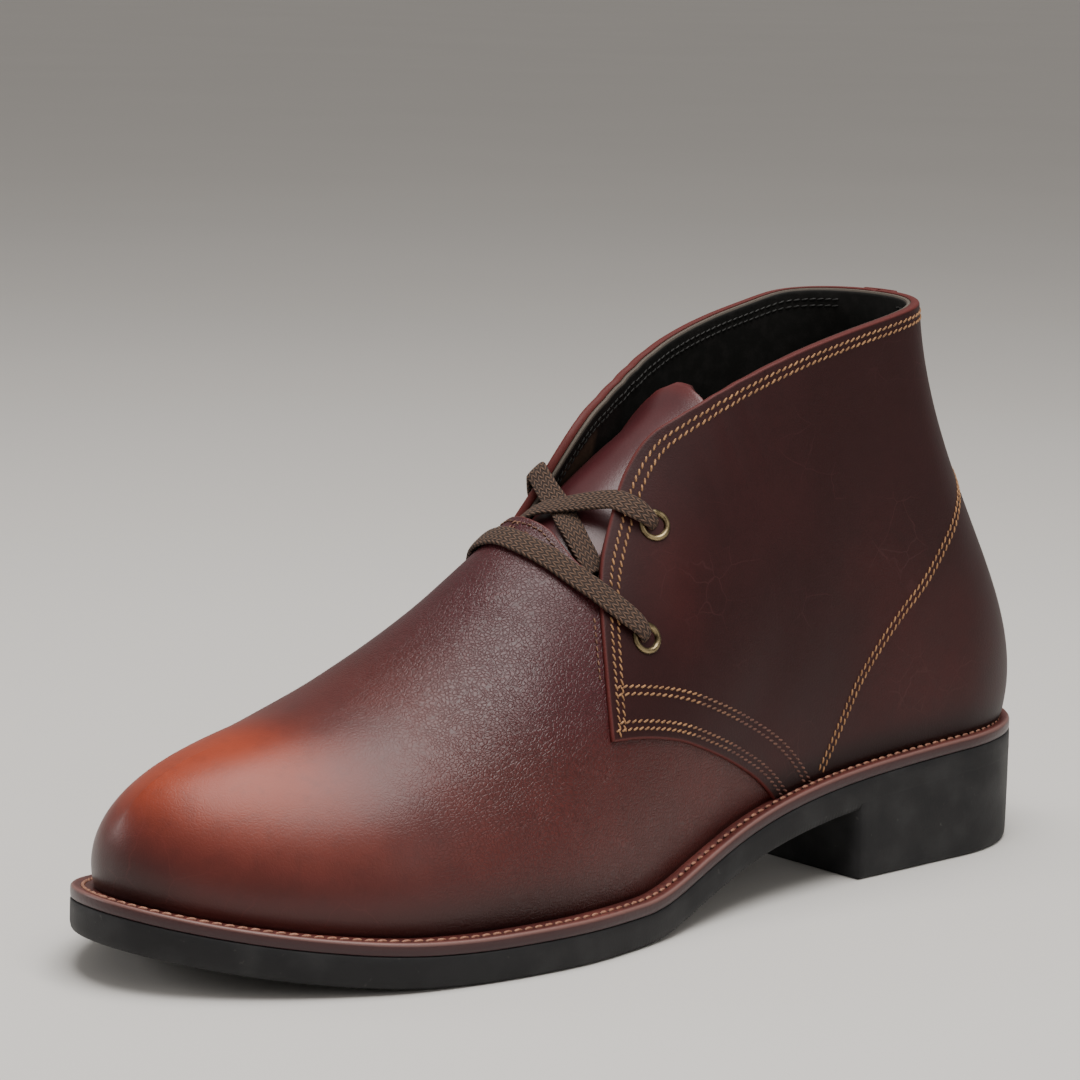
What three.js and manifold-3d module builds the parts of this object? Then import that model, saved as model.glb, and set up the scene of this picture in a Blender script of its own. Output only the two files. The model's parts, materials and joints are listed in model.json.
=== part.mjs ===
// A left chukka boot: two pairs of eyelets, an ankle high collar, an all-round welt and a
// black rubber sole with a block heel. Millimetres, +Z up, toe towards -X, outer side towards -Y.
// The origin is on the floor under the middle of the sole.
import * as THREE from 'three';
import { mergeVertices } from 'three/addons/utils/BufferGeometryUtils.js';
import Module from 'manifold-3d';

const wasm = await Module();
wasm.setup();

// Driving dimensions
const SOLE_LENGTH = 305;
const BALL_WIDTH = 107;
const HEEL_HEIGHT = 19.6;
const HEEL_LENGTH = 82;
const OUTSOLE_THICKNESS = 8.4;
const WELT_THICKNESS = 3.1;
const TOE_SPRING = 11;
const WELT_EXTENSION = 6;
const COLLAR_HEIGHT = 156;
const COLLAR_WIDTH = 57;
const COLLAR_SETBACK = 46;
const LAST_HEIGHT = 168;
const INSTEP_HEIGHT = 104.5;
const WALL = 2.6;
const OVERLAY = 1.2;
const INSOLE_THICKNESS = 3;
const TONGUE_THICKNESS = 2.2;
const TONGUE_WIDTH = 38;
const HEEL_STAY_WIDTH = 13;
const HEEL_STAY_HEIGHT = 40;
const EYELET_DIAMETER = 8.6;
const EYELET_BORE = 3.6;
const EYELET_BARREL = 4.6;
const EYELET_RIM = 1;
const LACE_WIDTH = 6.3;
const LACE_THICKNESS = 1.5;

// Clearances between pieces that touch on the real boot
const CLEARANCE = 0.3;

// How finely the curved pieces are cut into facets
const STATIONS = 34;
const WALL_ROWS = 13;
const EYELET_SIDES = 20;

const HEEL_X = SOLE_LENGTH / 2;
const TOE_X = -SOLE_LENGTH / 2;

// Outline of the sole from the heel (0) to the toe (1).
// lateral and medial are shares of the ball width, measured from the middle line.
const OUTLINE = [
  { along: 0.0, lateral: 0.325, medial: 0.318 },
  { along: 0.1, lateral: 0.325, medial: 0.318 },
  { along: 0.2, lateral: 0.332, medial: 0.313 },
  { along: 0.3, lateral: 0.341, medial: 0.285 },
  { along: 0.4, lateral: 0.369, medial: 0.266 },
  { along: 0.48, lateral: 0.413, medial: 0.285 },
  { along: 0.56, lateral: 0.47, medial: 0.346 },
  { along: 0.64, lateral: 0.505, medial: 0.425 },
  { along: 0.72, lateral: 0.495, medial: 0.487 },
  { along: 0.8, lateral: 0.452, medial: 0.504 },
  { along: 0.88, lateral: 0.385, medial: 0.486 },
  { along: 1.0, lateral: 0.3, medial: 0.43 },
];
const HEEL_ROUND = { share: 0.13, power: 2.1 };
const TOE_ROUND = { share: 0.21, power: 2.1 };

// Front line of the last, from the front of the collar down to the crown of the toe.
// along is a share of the sole length, height a share of the instep height.
const FRONT_LINE = [
  { along: 0.405, height: 1.608 },
  { along: 0.444, height: 1.445 },
  { along: 0.482, height: 1.285 },
  { along: 0.51, height: 1.165 },
  { along: 0.532, height: 1.1 },
  { along: 0.55, height: 1.045 },
  { along: 0.58, height: 0.985 },
  { along: 0.608, height: 0.924 },
  { along: 0.651, height: 0.822 },
  { along: 0.697, height: 0.73 },
  { along: 0.746, height: 0.651 },
  { along: 0.795, height: 0.595 },
  { along: 0.844, height: 0.559 },
  { along: 0.893, height: 0.526 },
];
const TOE_LEAN = { share: 0.04, start: 0.566, end: 0.86 };

// Half width of the last's top: along is a share of that top's length from the back.
const TOP_HALF = [
  { along: 0.0, half: 0.43 },
  { along: 0.2, half: 0.47 },
  { along: 0.45, half: 0.455 },
  { along: 0.7, half: 0.43 },
  { along: 1.0, half: 0.42 },
];
const TOP_BACK_ROUND = 0.22;
const TOP_FRONT_ROUND = 0.3;

// Top line from behind the heel, along the collar and down the facing to its corner.
// along is a share of the sole length, height a share of the collar height.
const TOP_LINE = [
  { along: 0.04, height: 1.011 },
  { along: 0.125, height: 1.008 },
  { along: 0.18, height: 0.999 },
  { along: 0.233, height: 0.979 },
  { along: 0.287, height: 0.956 },
  { along: 0.338, height: 0.928 },
  { along: 0.39, height: 0.889 },
  { along: 0.444, height: 0.838 },
  { along: 0.474, height: 0.803 },
  { along: 0.5, height: 0.748 },
  { along: 0.523, height: 0.68 },
  { along: 0.548, height: 0.6 },
  { along: 0.565, height: 0.52 },
  { along: 0.579, height: 0.43 },
  { along: 0.59, height: 0.338 },
];

// Lower edge of the quarter, from the corner of the facing down to the welt.
const QUARTER_EDGE = [
  { along: 0.59, height: 0.338 },
  { along: 0.55, height: 0.333 },
  { along: 0.508, height: 0.317 },
  { along: 0.469, height: 0.288 },
  { along: 0.432, height: 0.254 },
  { along: 0.398, height: 0.215 },
  { along: 0.371, height: 0.17 },
  { along: 0.342, height: 0.1 },
];

// Edge of the vamp's tab, from in front of the boot over its round top and down to behind
// the facings.
const TAB_EDGE = [
  { along: 0.605, height: 0.721 },
  { along: 0.584, height: 0.689 },
  { along: 0.573, height: 0.672 },
  { along: 0.568, height: 0.656 },
  { along: 0.567, height: 0.639 },
  { along: 0.565, height: 0.619 },
  { along: 0.561, height: 0.603 },
  { along: 0.558, height: 0.587 },
  { along: 0.554, height: 0.563 },
  { along: 0.551, height: 0.539 },
];

// Sections of the upper, from the back (0) round either side to the toe (1).
// extension is a share of the welt extension. low and high are the shares of the height
// between the welt and the top over which the wall leaves the welt and reaches the top,
// and lean is how far it leans outwards where it leaves the welt, in degrees.
const SECTIONS = [
  { at: 0.0, extension: 0.66, lean: 16, low: 0.28, high: 0.4 },
  { at: 0.1, extension: 0.66, lean: 15, low: 0.28, high: 0.4 },
  { at: 0.2, extension: 0.72, lean: 12, low: 0.29, high: 0.38 },
  { at: 0.3, extension: 0.8, lean: 9, low: 0.31, high: 0.3 },
  { at: 0.38, extension: 0.87, lean: 8, low: 0.33, high: 0.23 },
  { at: 0.44, extension: 0.93, lean: 9, low: 0.34, high: 0.19 },
  { at: 0.5, extension: 0.97, lean: 11, low: 0.36, high: 0.168 },
  { at: 0.56, extension: 1.0, lean: 14, low: 0.37, high: 0.178 },
  { at: 0.62, extension: 1.0, lean: 17, low: 0.38, high: 0.225 },
  { at: 0.7, extension: 1.0, lean: 19, low: 0.38, high: 0.275 },
  { at: 0.8, extension: 1.0, lean: 18, low: 0.36, high: 0.32 },
  { at: 0.9, extension: 1.0, lean: 15, low: 0.38, high: 0.385 },
  { at: 1.0, extension: 1.0, lean: 10, low: 0.45, high: 0.45 },
];
const FRONT_START = 0.4;

// Tongue, from under the vamp to its free end. along and height as for the front line,
// half is a share of the tongue's width and drop how far its sides hang below its middle.
const TONGUE = [
  { along: 0.665, height: 0.742, half: 0.42, drop: 0.2 },
  { along: 0.63, height: 0.805, half: 0.44, drop: 0.22 },
  { along: 0.59, height: 0.872, half: 0.46, drop: 0.24 },
  { along: 0.545, height: 0.962, half: 0.48, drop: 0.27 },
  { along: 0.5, height: 1.068, half: 0.49, drop: 0.27 },
  { along: 0.457, height: 1.153, half: 0.5, drop: 0.25 },
  { along: 0.418, height: 1.222, half: 0.47, drop: 0.23 },
  { along: 0.4, height: 1.272, half: 0.4, drop: 0.2 },
  { along: 0.391, height: 1.3, half: 0.24, drop: 0.1 },
];
const TONGUE_COLUMNS = 10;

// Eyelets, on both quarters, and the laces between them.
const EYELETS = [
  { name: 'lower', along: 0.5285, height: 0.7265 },
  { name: 'upper', along: 0.493, height: 0.985 },
];
const LACE_BAR_RIDGE = { along: 0.596, height: 0.957 };

// The laces that cross on the tongue, each from beside its top eyelet down towards the lower
// eyelet of the other side. across is a share of the collar's width, towards the top eyelet.
const LACE_OVER = [
  { along: 0.506, across: 0.386, height: 1.037 },
  { along: 0.5115, across: 0.355, height: 1.048 },
  { along: 0.517, across: 0.312, height: 1.051 },
  { along: 0.5197, across: 0.239, height: 1.047 },
  { along: 0.5236, across: 0.153, height: 1.038 },
  { along: 0.5285, across: 0.065, height: 1.028 },
  { along: 0.5331, across: -0.014, height: 1.017 },
  { along: 0.5374, across: -0.091, height: 1.007 },
  { along: 0.5403, across: -0.172, height: 0.985 },
  { along: 0.5426, across: -0.237, height: 0.953 },
];
const LACE_UNDER = [
  { along: 0.5013, across: 0.391, height: 1.048 },
  { along: 0.5079, across: 0.337, height: 1.077 },
  { along: 0.5151, across: 0.272, height: 1.084 },
  { along: 0.5193, across: 0.193, height: 1.062 },
  { along: 0.5226, across: 0.123, height: 1.039 },
  { along: 0.5252, across: 0.053, height: 1.019 },
  { along: 0.5302, across: -0.011, height: 1.01 },
  { along: 0.5364, across: -0.086, height: 0.989 },
  { along: 0.54, across: -0.154, height: 0.967 },
  { along: 0.5416, across: -0.196, height: 0.947 },
  { along: 0.5426, across: -0.246, height: 0.924 },
];
const LACE_STEPS = 16;

// A line inside the instep, away from which the flat side of the laces faces.
const LACE_AXIS = { along: 0.514, height: 0.846, rise: 33 };

// A value that changes smoothly along a table, by cubic pieces through its rows.
function smoothTable(rows, key, value) {
  const slopes = rows.map((row, i) => {
    const before = rows[Math.max(i - 1, 0)];
    const after = rows[Math.min(i + 1, rows.length - 1)];
    return (after[value] - before[value]) / (after[key] - before[key]);
  });
  return (at) => {
    let i = 0;
    while (i < rows.length - 2 && at > rows[i + 1][key]) i += 1;
    const step = rows[i + 1][key] - rows[i][key];
    const t = THREE.MathUtils.clamp((at - rows[i][key]) / step, 0, 1);
    const start = rows[i][value] * (1 + 2 * t) * (1 - t) ** 2 + slopes[i] * step * t * (1 - t) ** 2;
    return start + rows[i + 1][value] * t * t * (3 - 2 * t) - slopes[i + 1] * step * t * t * (1 - t);
  };
}

// A side view line through the rows of a table, as a function of the share of its length.
function sideLine(rows, heightUnit) {
  const points = rows.map((row) => ({ x: HEEL_X - row.along * SOLE_LENGTH, z: row.height * heightUnit }));
  let length = 0;
  points.forEach((point, i) => {
    if (i > 0) length += Math.hypot(point.x - points[i - 1].x, point.z - points[i - 1].z);
    point.run = length;
  });
  const x = smoothTable(points, 'run', 'x');
  const z = smoothTable(points, 'run', 'z');
  return (share) => ({ x: x(share * length), z: z(share * length) });
}

const lateralHalf = smoothTable(OUTLINE, 'along', 'lateral');
const medialHalf = smoothTable(OUTLINE, 'along', 'medial');
const topHalf = smoothTable(TOP_HALF, 'along', 'half');
const extensionAt = smoothTable(SECTIONS, 'at', 'extension');
const leanAt = smoothTable(SECTIONS, 'at', 'lean');
const lowAt = smoothTable(SECTIONS, 'at', 'low');
const highAt = smoothTable(SECTIONS, 'at', 'high');
const frontLine = sideLine(FRONT_LINE, INSTEP_HEIGHT);
const topLine = sideLine(TOP_LINE, COLLAR_HEIGHT);
const quarterEdge = sideLine(QUARTER_EDGE, COLLAR_HEIGHT);
const tabEdge = sideLine(TAB_EDGE, COLLAR_HEIGHT);

// Quarter of a round end: 1 away from the end, 0 at the end itself.
const roundEnd = (share, round, power) => {
  const gone = THREE.MathUtils.clamp(1 - share / round, 0, 1);
  return (1 - gone ** power) ** (1 / power);
};

// Edge of the sole on one side (-1 lateral, 1 medial), at a share of its length.
function soleEdge(side, along) {
  const lateral = lateralHalf(along) * BALL_WIDTH;
  const medial = medialHalf(along) * BALL_WIDTH;
  const ends = roundEnd(along, HEEL_ROUND.share, HEEL_ROUND.power)
    * roundEnd(1 - along, TOE_ROUND.share, TOE_ROUND.power);
  const y = (medial - lateral) / 2 + side * ((medial + lateral) / 2) * ends;
  return new THREE.Vector3(HEEL_X - along * SOLE_LENGTH, y, 0);
}

// Stations are close together where the ends turn.
const alongAt = (at) => (1 - Math.cos(Math.PI * at)) / 2;

// Level direction that points out of the sole's edge.
function edgeOutward(side, at) {
  if (at < 1e-6) return new THREE.Vector3(1, 0, 0);
  if (at > 1 - 1e-6) return new THREE.Vector3(-1, 0, 0);
  const step = 1e-3;
  const ahead = soleEdge(side, alongAt(Math.min(at + step, 1)));
  const run = ahead.sub(soleEdge(side, alongAt(Math.max(at - step, 0))));
  return new THREE.Vector3(-run.y, run.x, 0).multiplyScalar(-side).normalize();
}

const insetEdge = (side, at, inset) =>
  soleEdge(side, alongAt(at)).addScaledVector(edgeOutward(side, at), -inset);

// Height of the outsole's bottom: toe spring, a flat ball, the arch and the heel seat.
const TOE_SPRING_RUN = 0.269 * SOLE_LENGTH;
const BALL_FLAT_END = -0.072 * SOLE_LENGTH;
const ARCH = { power: 2, ease: 0.3 };
function soleBottom(x) {
  const springRun = TOE_X + TOE_SPRING_RUN - x;
  if (springRun > 0) return TOE_SPRING * (springRun / TOE_SPRING_RUN) ** 2;
  if (x <= BALL_FLAT_END) return 0;
  const breast = HEEL_X - HEEL_LENGTH;
  const rise = ((x - BALL_FLAT_END) / (breast - BALL_FLAT_END)) ** ARCH.power;
  return HEEL_HEIGHT * (1 + ARCH.ease) * rise / (ARCH.ease + rise);
}
const outsoleTop = (x) => soleBottom(x) + OUTSOLE_THICKNESS;
const weltBottom = (x) => outsoleTop(x) + CLEARANCE;
const weltTop = (x) => weltBottom(x) + WELT_THICKNESS;
const featherHeight = (x) => weltTop(x) + CLEARANCE;

// Where the wall of the upper meets the welt.
function feather(side, at) {
  const point = insetEdge(side, at, WELT_EXTENSION * extensionAt(at));
  point.z = featherHeight(point.x);
  return point;
}

// Upper end of a section: round the last's level top, then down the front line to the toe.
const TOP_PACE = 1.9;
const FRONT_PACE = 1.9;
const frontShare = (at) => 1 - (1 - (at - FRONT_START) / (1 - FRONT_START)) ** FRONT_PACE;
const topShare = (at) => (1 - Math.cos(Math.PI * Math.min(at / FRONT_START, 1) ** TOP_PACE)) / 2;
const leanAcross = (x) => {
  const along = (HEEL_X - x) / SOLE_LENGTH;
  return TOE_LEAN.share * BALL_WIDTH * THREE.MathUtils.smoothstep(along, TOE_LEAN.start, TOE_LEAN.end);
};

function sectionTop(side, at) {
  if (at >= FRONT_START) {
    const { x, z } = frontLine(frontShare(at));
    return new THREE.Vector3(x, leanAcross(x), z);
  }
  const share = topShare(at);
  const front = frontLine(0);
  const ends = roundEnd(share, TOP_BACK_ROUND, 2.2) * roundEnd(1 - share, TOP_FRONT_ROUND, 2);
  const x = THREE.MathUtils.lerp(HEEL_X - COLLAR_SETBACK, front.x, share);
  const z = THREE.MathUtils.lerp(LAST_HEIGHT, front.z, share);
  return new THREE.Vector3(x, side * topHalf(share) * COLLAR_WIDTH * ends, z);
}

// Direction in which a section leaves its upper end: down from the last's top, outwards
// from the front line, and along that line at the toe.
const TURN = { start: FRONT_START - 0.07, end: FRONT_START + 0.07, toe: 0.8 };
function topLeaving(side, at) {
  const step = 2e-3;
  const ahead = Math.min(Math.max(at, FRONT_START) + step, 1);
  const forwards = sectionTop(side, ahead).sub(sectionTop(side, ahead - step)).normalize();
  const fallen = new THREE.Vector3(0, 0, -1).lerp(forwards, topShare(at)).normalize();
  const turned = THREE.MathUtils.smoothstep(at, TURN.start, TURN.end)
    * (1 - THREE.MathUtils.smoothstep(at, TURN.toe, 1));
  const angle = (turned * Math.PI) / 2;
  const across = new THREE.Vector3(0, side * Math.sin(angle), 0);
  return fallen.multiplyScalar(Math.cos(angle)).add(across).normalize();
}

// A point of a section: at is the station and rise goes from the welt (0) to the top (1).
function sectionPoint(side, at, rise) {
  const bottom = feather(side, at);
  const top = sectionTop(side, at);
  const span = bottom.distanceTo(top);
  const lean = THREE.MathUtils.degToRad(leanAt(at));
  const leaving = edgeOutward(side, at).multiplyScalar(Math.sin(lean));
  leaving.z = Math.cos(lean);
  const low = bottom.clone().addScaledVector(leaving, span * lowAt(at));
  const high = top.clone().addScaledVector(topLeaving(side, at), span * highAt(at));
  return new THREE.CubicBezierCurve3(bottom, low, high, top).getPoint(rise);
}

// A point of the last's side. Between the collar and the instep neighbouring sections are
// averaged, which keeps that part fair.
const FAIRING = { reach: 0.03, start: 0.16, full: 0.3, fade: 0.5, end: 0.66, rise: 0.35 };
const FAIRING_WEIGHTS = [1, 6, 15, 20, 15, 6, 1];
const FAIRING_SUM = FAIRING_WEIGHTS.reduce((sum, weight) => sum + weight, 0);
function lastPoint(side, at, rise) {
  const reach = FAIRING.reach * THREE.MathUtils.smoothstep(at, FAIRING.start, FAIRING.full)
    * (1 - THREE.MathUtils.smoothstep(at, FAIRING.fade, FAIRING.end))
    * THREE.MathUtils.smoothstep(rise, 0, FAIRING.rise);
  const middle = (FAIRING_WEIGHTS.length - 1) / 2;
  const point = new THREE.Vector3();
  FAIRING_WEIGHTS.forEach((weight, i) => {
    point.addScaledVector(sectionPoint(side, at + (i - middle) * reach, rise), weight / FAIRING_SUM);
  });
  return point;
}

// Ring of points round both sides: lateral from the back to the toe, medial back again.
function ring(pointAt) {
  const points = [];
  for (let i = 0; i <= STATIONS; i += 1) points.push(pointAt(-1, i / STATIONS));
  for (let i = STATIONS - 1; i > 0; i -= 1) points.push(pointAt(1, i / STATIONS));
  return points;
}

const RING = 2 * STATIONS;

// Triangles between rings that follow each other upwards.
function sideFaces(rows) {
  const faces = [];
  for (let row = 0; row < rows - 1; row += 1) {
    for (let i = 0; i < RING; i += 1) {
      const next = (i + 1) % RING;
      const [a, b] = [row * RING + i, row * RING + next];
      const [d, c] = [a + RING, b + RING];
      faces.push([a, d, b], [b, d, c]);
    }
  }
  return faces;
}

// Triangles that close a ring from side to side.
function capFaces(row, upwards) {
  const faces = [];
  for (let i = 0; i < STATIONS; i += 1) {
    const [l0, l1] = [i, i + 1].map((k) => row * RING + k);
    const [m0, m1] = [i, i + 1].map((k) => row * RING + ((RING - k) % RING));
    faces.push(upwards ? [l0, m1, l1] : [l0, l1, m1]);
    faces.push(upwards ? [l0, m0, m1] : [l0, m1, m0]);
  }
  return faces;
}

// A closed body from points and triangles: equal points become one, flat triangles go.
function bodyFrom(points, faces) {
  const shared = new Map();
  const kept = [];
  const index = points.map((point) => {
    const key = [point.x, point.y, point.z].map((v) => Math.round(v * 1e4)).join();
    if (!shared.has(key)) {
      shared.set(key, kept.length);
      kept.push(point);
    }
    return shared.get(key);
  });
  const triangles = faces
    .map((face) => face.map((corner) => index[corner]))
    .filter(([a, b, c]) => a !== b && b !== c && c !== a);
  return { points: kept, triangles };
}

function solid({ points, triangles }) {
  return new wasm.Manifold(new wasm.Mesh({
    numProp: 3,
    vertProperties: new Float32Array(points.flatMap((point) => point.toArray())),
    triVerts: new Uint32Array(triangles.flat()),
  }));
}

function solidOf(geometry) {
  const bare = geometry.clone();
  bare.deleteAttribute('normal');
  bare.deleteAttribute('uv');
  const merged = mergeVertices(bare, 1e-4);
  return new wasm.Manifold(new wasm.Mesh({
    numProp: 3,
    vertProperties: new Float32Array(merged.attributes.position.array),
    triVerts: new Uint32Array(merged.index.array),
  }));
}

// The last's skin and its outward normals, from which each form of the upper is offset.
const skin = [];
for (let row = 0; row <= WALL_ROWS; row += 1) {
  skin.push(...ring((side, at) => lastPoint(side, at, row / WALL_ROWS)));
}
const skinBody = bodyFrom(skin, sideFaces(WALL_ROWS + 1));
const skinNormals = skinBody.points.map(() => new THREE.Vector3());
skinBody.triangles.forEach((face) => {
  const [a, b, c] = face.map((corner) => skinBody.points[corner]);
  const normal = b.clone().sub(a).cross(c.clone().sub(a));
  face.forEach((corner) => skinNormals[corner].add(normal));
});
skinNormals.forEach((normal) => normal.normalize());
const normalOf = new Map(skinBody.points.map((point, i) => [point, skinNormals[i]]));
const nearestNormal = (point) => {
  if (normalOf.has(point)) return normalOf.get(point);
  const match = skinBody.points.find((other) => other.distanceToSquared(point) < 1e-6);
  return normalOf.get(match);
};
const skinOutward = skin.map(nearestNormal);

// The form of the last grown by a distance. below lengthens it downwards past the welt.
function form(grown, below = 0) {
  const points = skin.map((point, i) => {
    const moved = point.clone().addScaledVector(skinOutward[i], grown);
    if (i < RING) moved.z = point.z;
    return moved;
  });
  const bottom = points.slice(0, RING).map((point) => point.clone().setZ(point.z - below));
  const all = below > 0 ? [...bottom, ...points] : points;
  const rows = all.length / RING;
  return solid(bodyFrom(all, [...sideFaces(rows), ...capFaces(0, false), ...capFaces(rows - 1, true)]));
}

// A side view outline, grown by a margin, made solid right across the boot.
const ACROSS = 2 * BALL_WIDTH;
function sideBlock(outline, margin = 0) {
  let section = new wasm.CrossSection([outline.map(({ x, z }) => [x, z])], 'EvenOdd');
  if (margin !== 0) section = section.offset(margin, 'Miter');
  return section.extrude(ACROSS).rotate([90, 0, 0]).translate([0, ACROSS / 2, 0]);
}

const pointsOn = (line, count) => Array.from({ length: count + 1 }, (_, i) => line(i / count));
const topPoints = pointsOn(topLine, 44);
const quarterPoints = pointsOn(quarterEdge, 12);
const tabPoints = pointsOn(tabEdge, 10);
const FAR = 2 * SOLE_LENGTH;

// What the collar, the facings and the vamp's tab leave open, less a margin at those edges.
function openingBlock(margin = 0) {
  const corner = topPoints[topPoints.length - 1];
  const above = sideBlock([
    { x: FAR, z: topPoints[0].z },
    ...topPoints,
    { x: -FAR, z: corner.z },
    { x: -FAR, z: FAR },
    { x: FAR, z: FAR },
  ], -margin);
  const tab = sideBlock([
    { x: -FAR, z: tabPoints[0].z },
    ...tabPoints,
    { x: tabPoints[tabPoints.length - 1].x, z: -FAR },
    { x: -FAR, z: -FAR },
  ], margin);
  return above.subtract(tab);
}

// The side view region that the quarters cover, grown by a margin.
function quarterBlock(margin = 0) {
  return sideBlock([
    { x: FAR, z: topPoints[0].z },
    ...topPoints,
    ...quarterPoints.slice(1),
    { x: quarterPoints[quarterPoints.length - 1].x, z: -FAR },
    { x: FAR, z: -FAR },
  ], margin);
}

// The heel stay: a strip up the middle of the back, from below the collar's edge.
function heelStayBlock() {
  const top = COLLAR_HEIGHT;
  const half = HEEL_STAY_WIDTH / 2;
  const shape = new THREE.Shape([
    new THREE.Vector2(-half, top),
    new THREE.Vector2(-half * 0.8, top - HEEL_STAY_HEIGHT),
    new THREE.Vector2(half * 0.8, top - HEEL_STAY_HEIGHT),
    new THREE.Vector2(half, top),
  ]);
  const geometry = new THREE.ExtrudeGeometry(shape, { depth: SOLE_LENGTH / 2, bevelEnabled: false });
  geometry.rotateX(Math.PI / 2).rotateZ(Math.PI / 2);
  return solidOf(geometry);
}

// The point of the quarter's skin at a side view place, with its outward normal.
function onSkin(side, x, z) {
  let best = { at: 0.4, rise: 0.5, miss: Infinity };
  let reach = 0.5;
  for (let pass = 0; pass < 9; pass += 1) {
    const centre = { ...best };
    for (let i = -6; i <= 6; i += 1) {
      for (let j = -6; j <= 6; j += 1) {
        const at = THREE.MathUtils.clamp(centre.at + (reach * i) / 6, 0, 1);
        const rise = THREE.MathUtils.clamp(centre.rise + (reach * j) / 6, 0, 1);
        const point = lastPoint(side, at, rise);
        const miss = Math.hypot(point.x - x, point.z - z);
        if (miss < best.miss) best = { at, rise, miss };
      }
    }
    reach *= 0.35;
  }
  const step = 1e-3;
  const point = lastPoint(side, best.at, best.rise);
  const round = lastPoint(side, best.at + step, best.rise).sub(point);
  const up = lastPoint(side, best.at, best.rise + step).sub(point);
  const normal = up.cross(round).multiplyScalar(-side).normalize();
  return { point, normal };
}

const eyeletPlaces = EYELETS.flatMap(({ name, along, height }) => [-1, 1].map((side) => {
  const x = HEEL_X - along * SOLE_LENGTH;
  const { point, normal } = onSkin(side, x, height * INSTEP_HEIGHT);
  const where = side < 0 ? 'lateral' : 'medial';
  return { name: `eyelet_${where}_${name}`, point, normal, side };
}));

const Y_AXIS = new THREE.Vector3(0, 1, 0);
const turnedTo = (normal) => new THREE.Quaternion().setFromUnitVectors(Y_AXIS, normal);

function upperSolid() {
  const vamp = form(0);
  const quarters = form(OVERLAY).intersect(quarterBlock());
  const stay = form(2 * OVERLAY).intersect(heelStayBlock()).intersect(quarterBlock());
  let upper = vamp.add(quarters).add(stay);
  upper = upper.subtract(form(-WALL, WALL + WELT_THICKNESS)).subtract(openingBlock());
  eyeletPlaces.forEach(({ point, normal }) => {
    const hole = new THREE.CylinderGeometry(1, 1, 4 * (WALL + OVERLAY), EYELET_SIDES);
    hole.scale(EYELET_BARREL / 2 + CLEARANCE, 1, EYELET_BARREL / 2 + CLEARANCE);
    hole.applyQuaternion(turnedTo(normal)).translate(point.x, point.y, point.z);
    upper = upper.subtract(solidOf(hole));
  });
  return upper;
}

// A plate with the sole's outline. edge rows go upwards: inset from the outline, in shares
// of the thickness, and the share of the thickness at which it lies.
function plate(insetAt, bottomAt, topAt, edge, thickness) {
  const rings = edge.map(({ inset, share }) => ring((side, at) => {
    const point = insetEdge(side, at, insetAt(at) + inset * thickness);
    point.z = THREE.MathUtils.lerp(bottomAt(point.x), topAt(point.x), share);
    return point;
  }));
  const faces = [...sideFaces(edge.length), ...capFaces(0, false), ...capFaces(edge.length - 1, true)];
  return solid(bodyFrom(rings.flat(), faces));
}

const OUTSOLE_EDGE = [
  { inset: 0.167, share: 0 },
  { inset: 0.06, share: 0.1 },
  { inset: 0, share: 0.3 },
  { inset: 0.012, share: 1 },
];
const HEEL_EDGE = [
  { inset: 0.19, share: 0 },
  { inset: 0.107, share: 0.05 },
  { inset: 0.012, share: 0.95 },
  { inset: 0.012, share: 1 },
];
const WELT_EDGE = [
  { inset: 0.065, share: 0 },
  { inset: 0.065, share: 0.75 },
  { inset: 0.29, share: 1 },
];
const INSOLE_EDGE = [
  { inset: 0, share: 0 },
  { inset: 0, share: 0.7 },
  { inset: 0.267, share: 1 },
];

function outsoleSolid() {
  const slab = plate(() => 0, soleBottom, outsoleTop, OUTSOLE_EDGE, OUTSOLE_THICKNESS);
  const joint = (x) => soleBottom(x) + OUTSOLE_THICKNESS / 2;
  const block = plate(() => 0, () => 0, joint, HEEL_EDGE, OUTSOLE_THICKNESS);
  const breast = HEEL_X - HEEL_LENGTH;
  const behindBreast = sideBlock([
    { x: breast, z: -FAR },
    { x: FAR, z: -FAR },
    { x: FAR, z: FAR },
    { x: breast, z: FAR },
  ]);
  return slab.add(block.intersect(behindBreast));
}

const weltSolid = () => plate(() => 0, weltBottom, weltTop, WELT_EDGE, WELT_THICKNESS);

function insoleSolid() {
  const inset = (at) => WELT_EXTENSION * extensionAt(at) + WALL + 2 * CLEARANCE;
  const top = (x) => featherHeight(x) + INSOLE_THICKNESS;
  return plate(inset, featherHeight, top, INSOLE_EDGE, INSOLE_THICKNESS);
}

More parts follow.
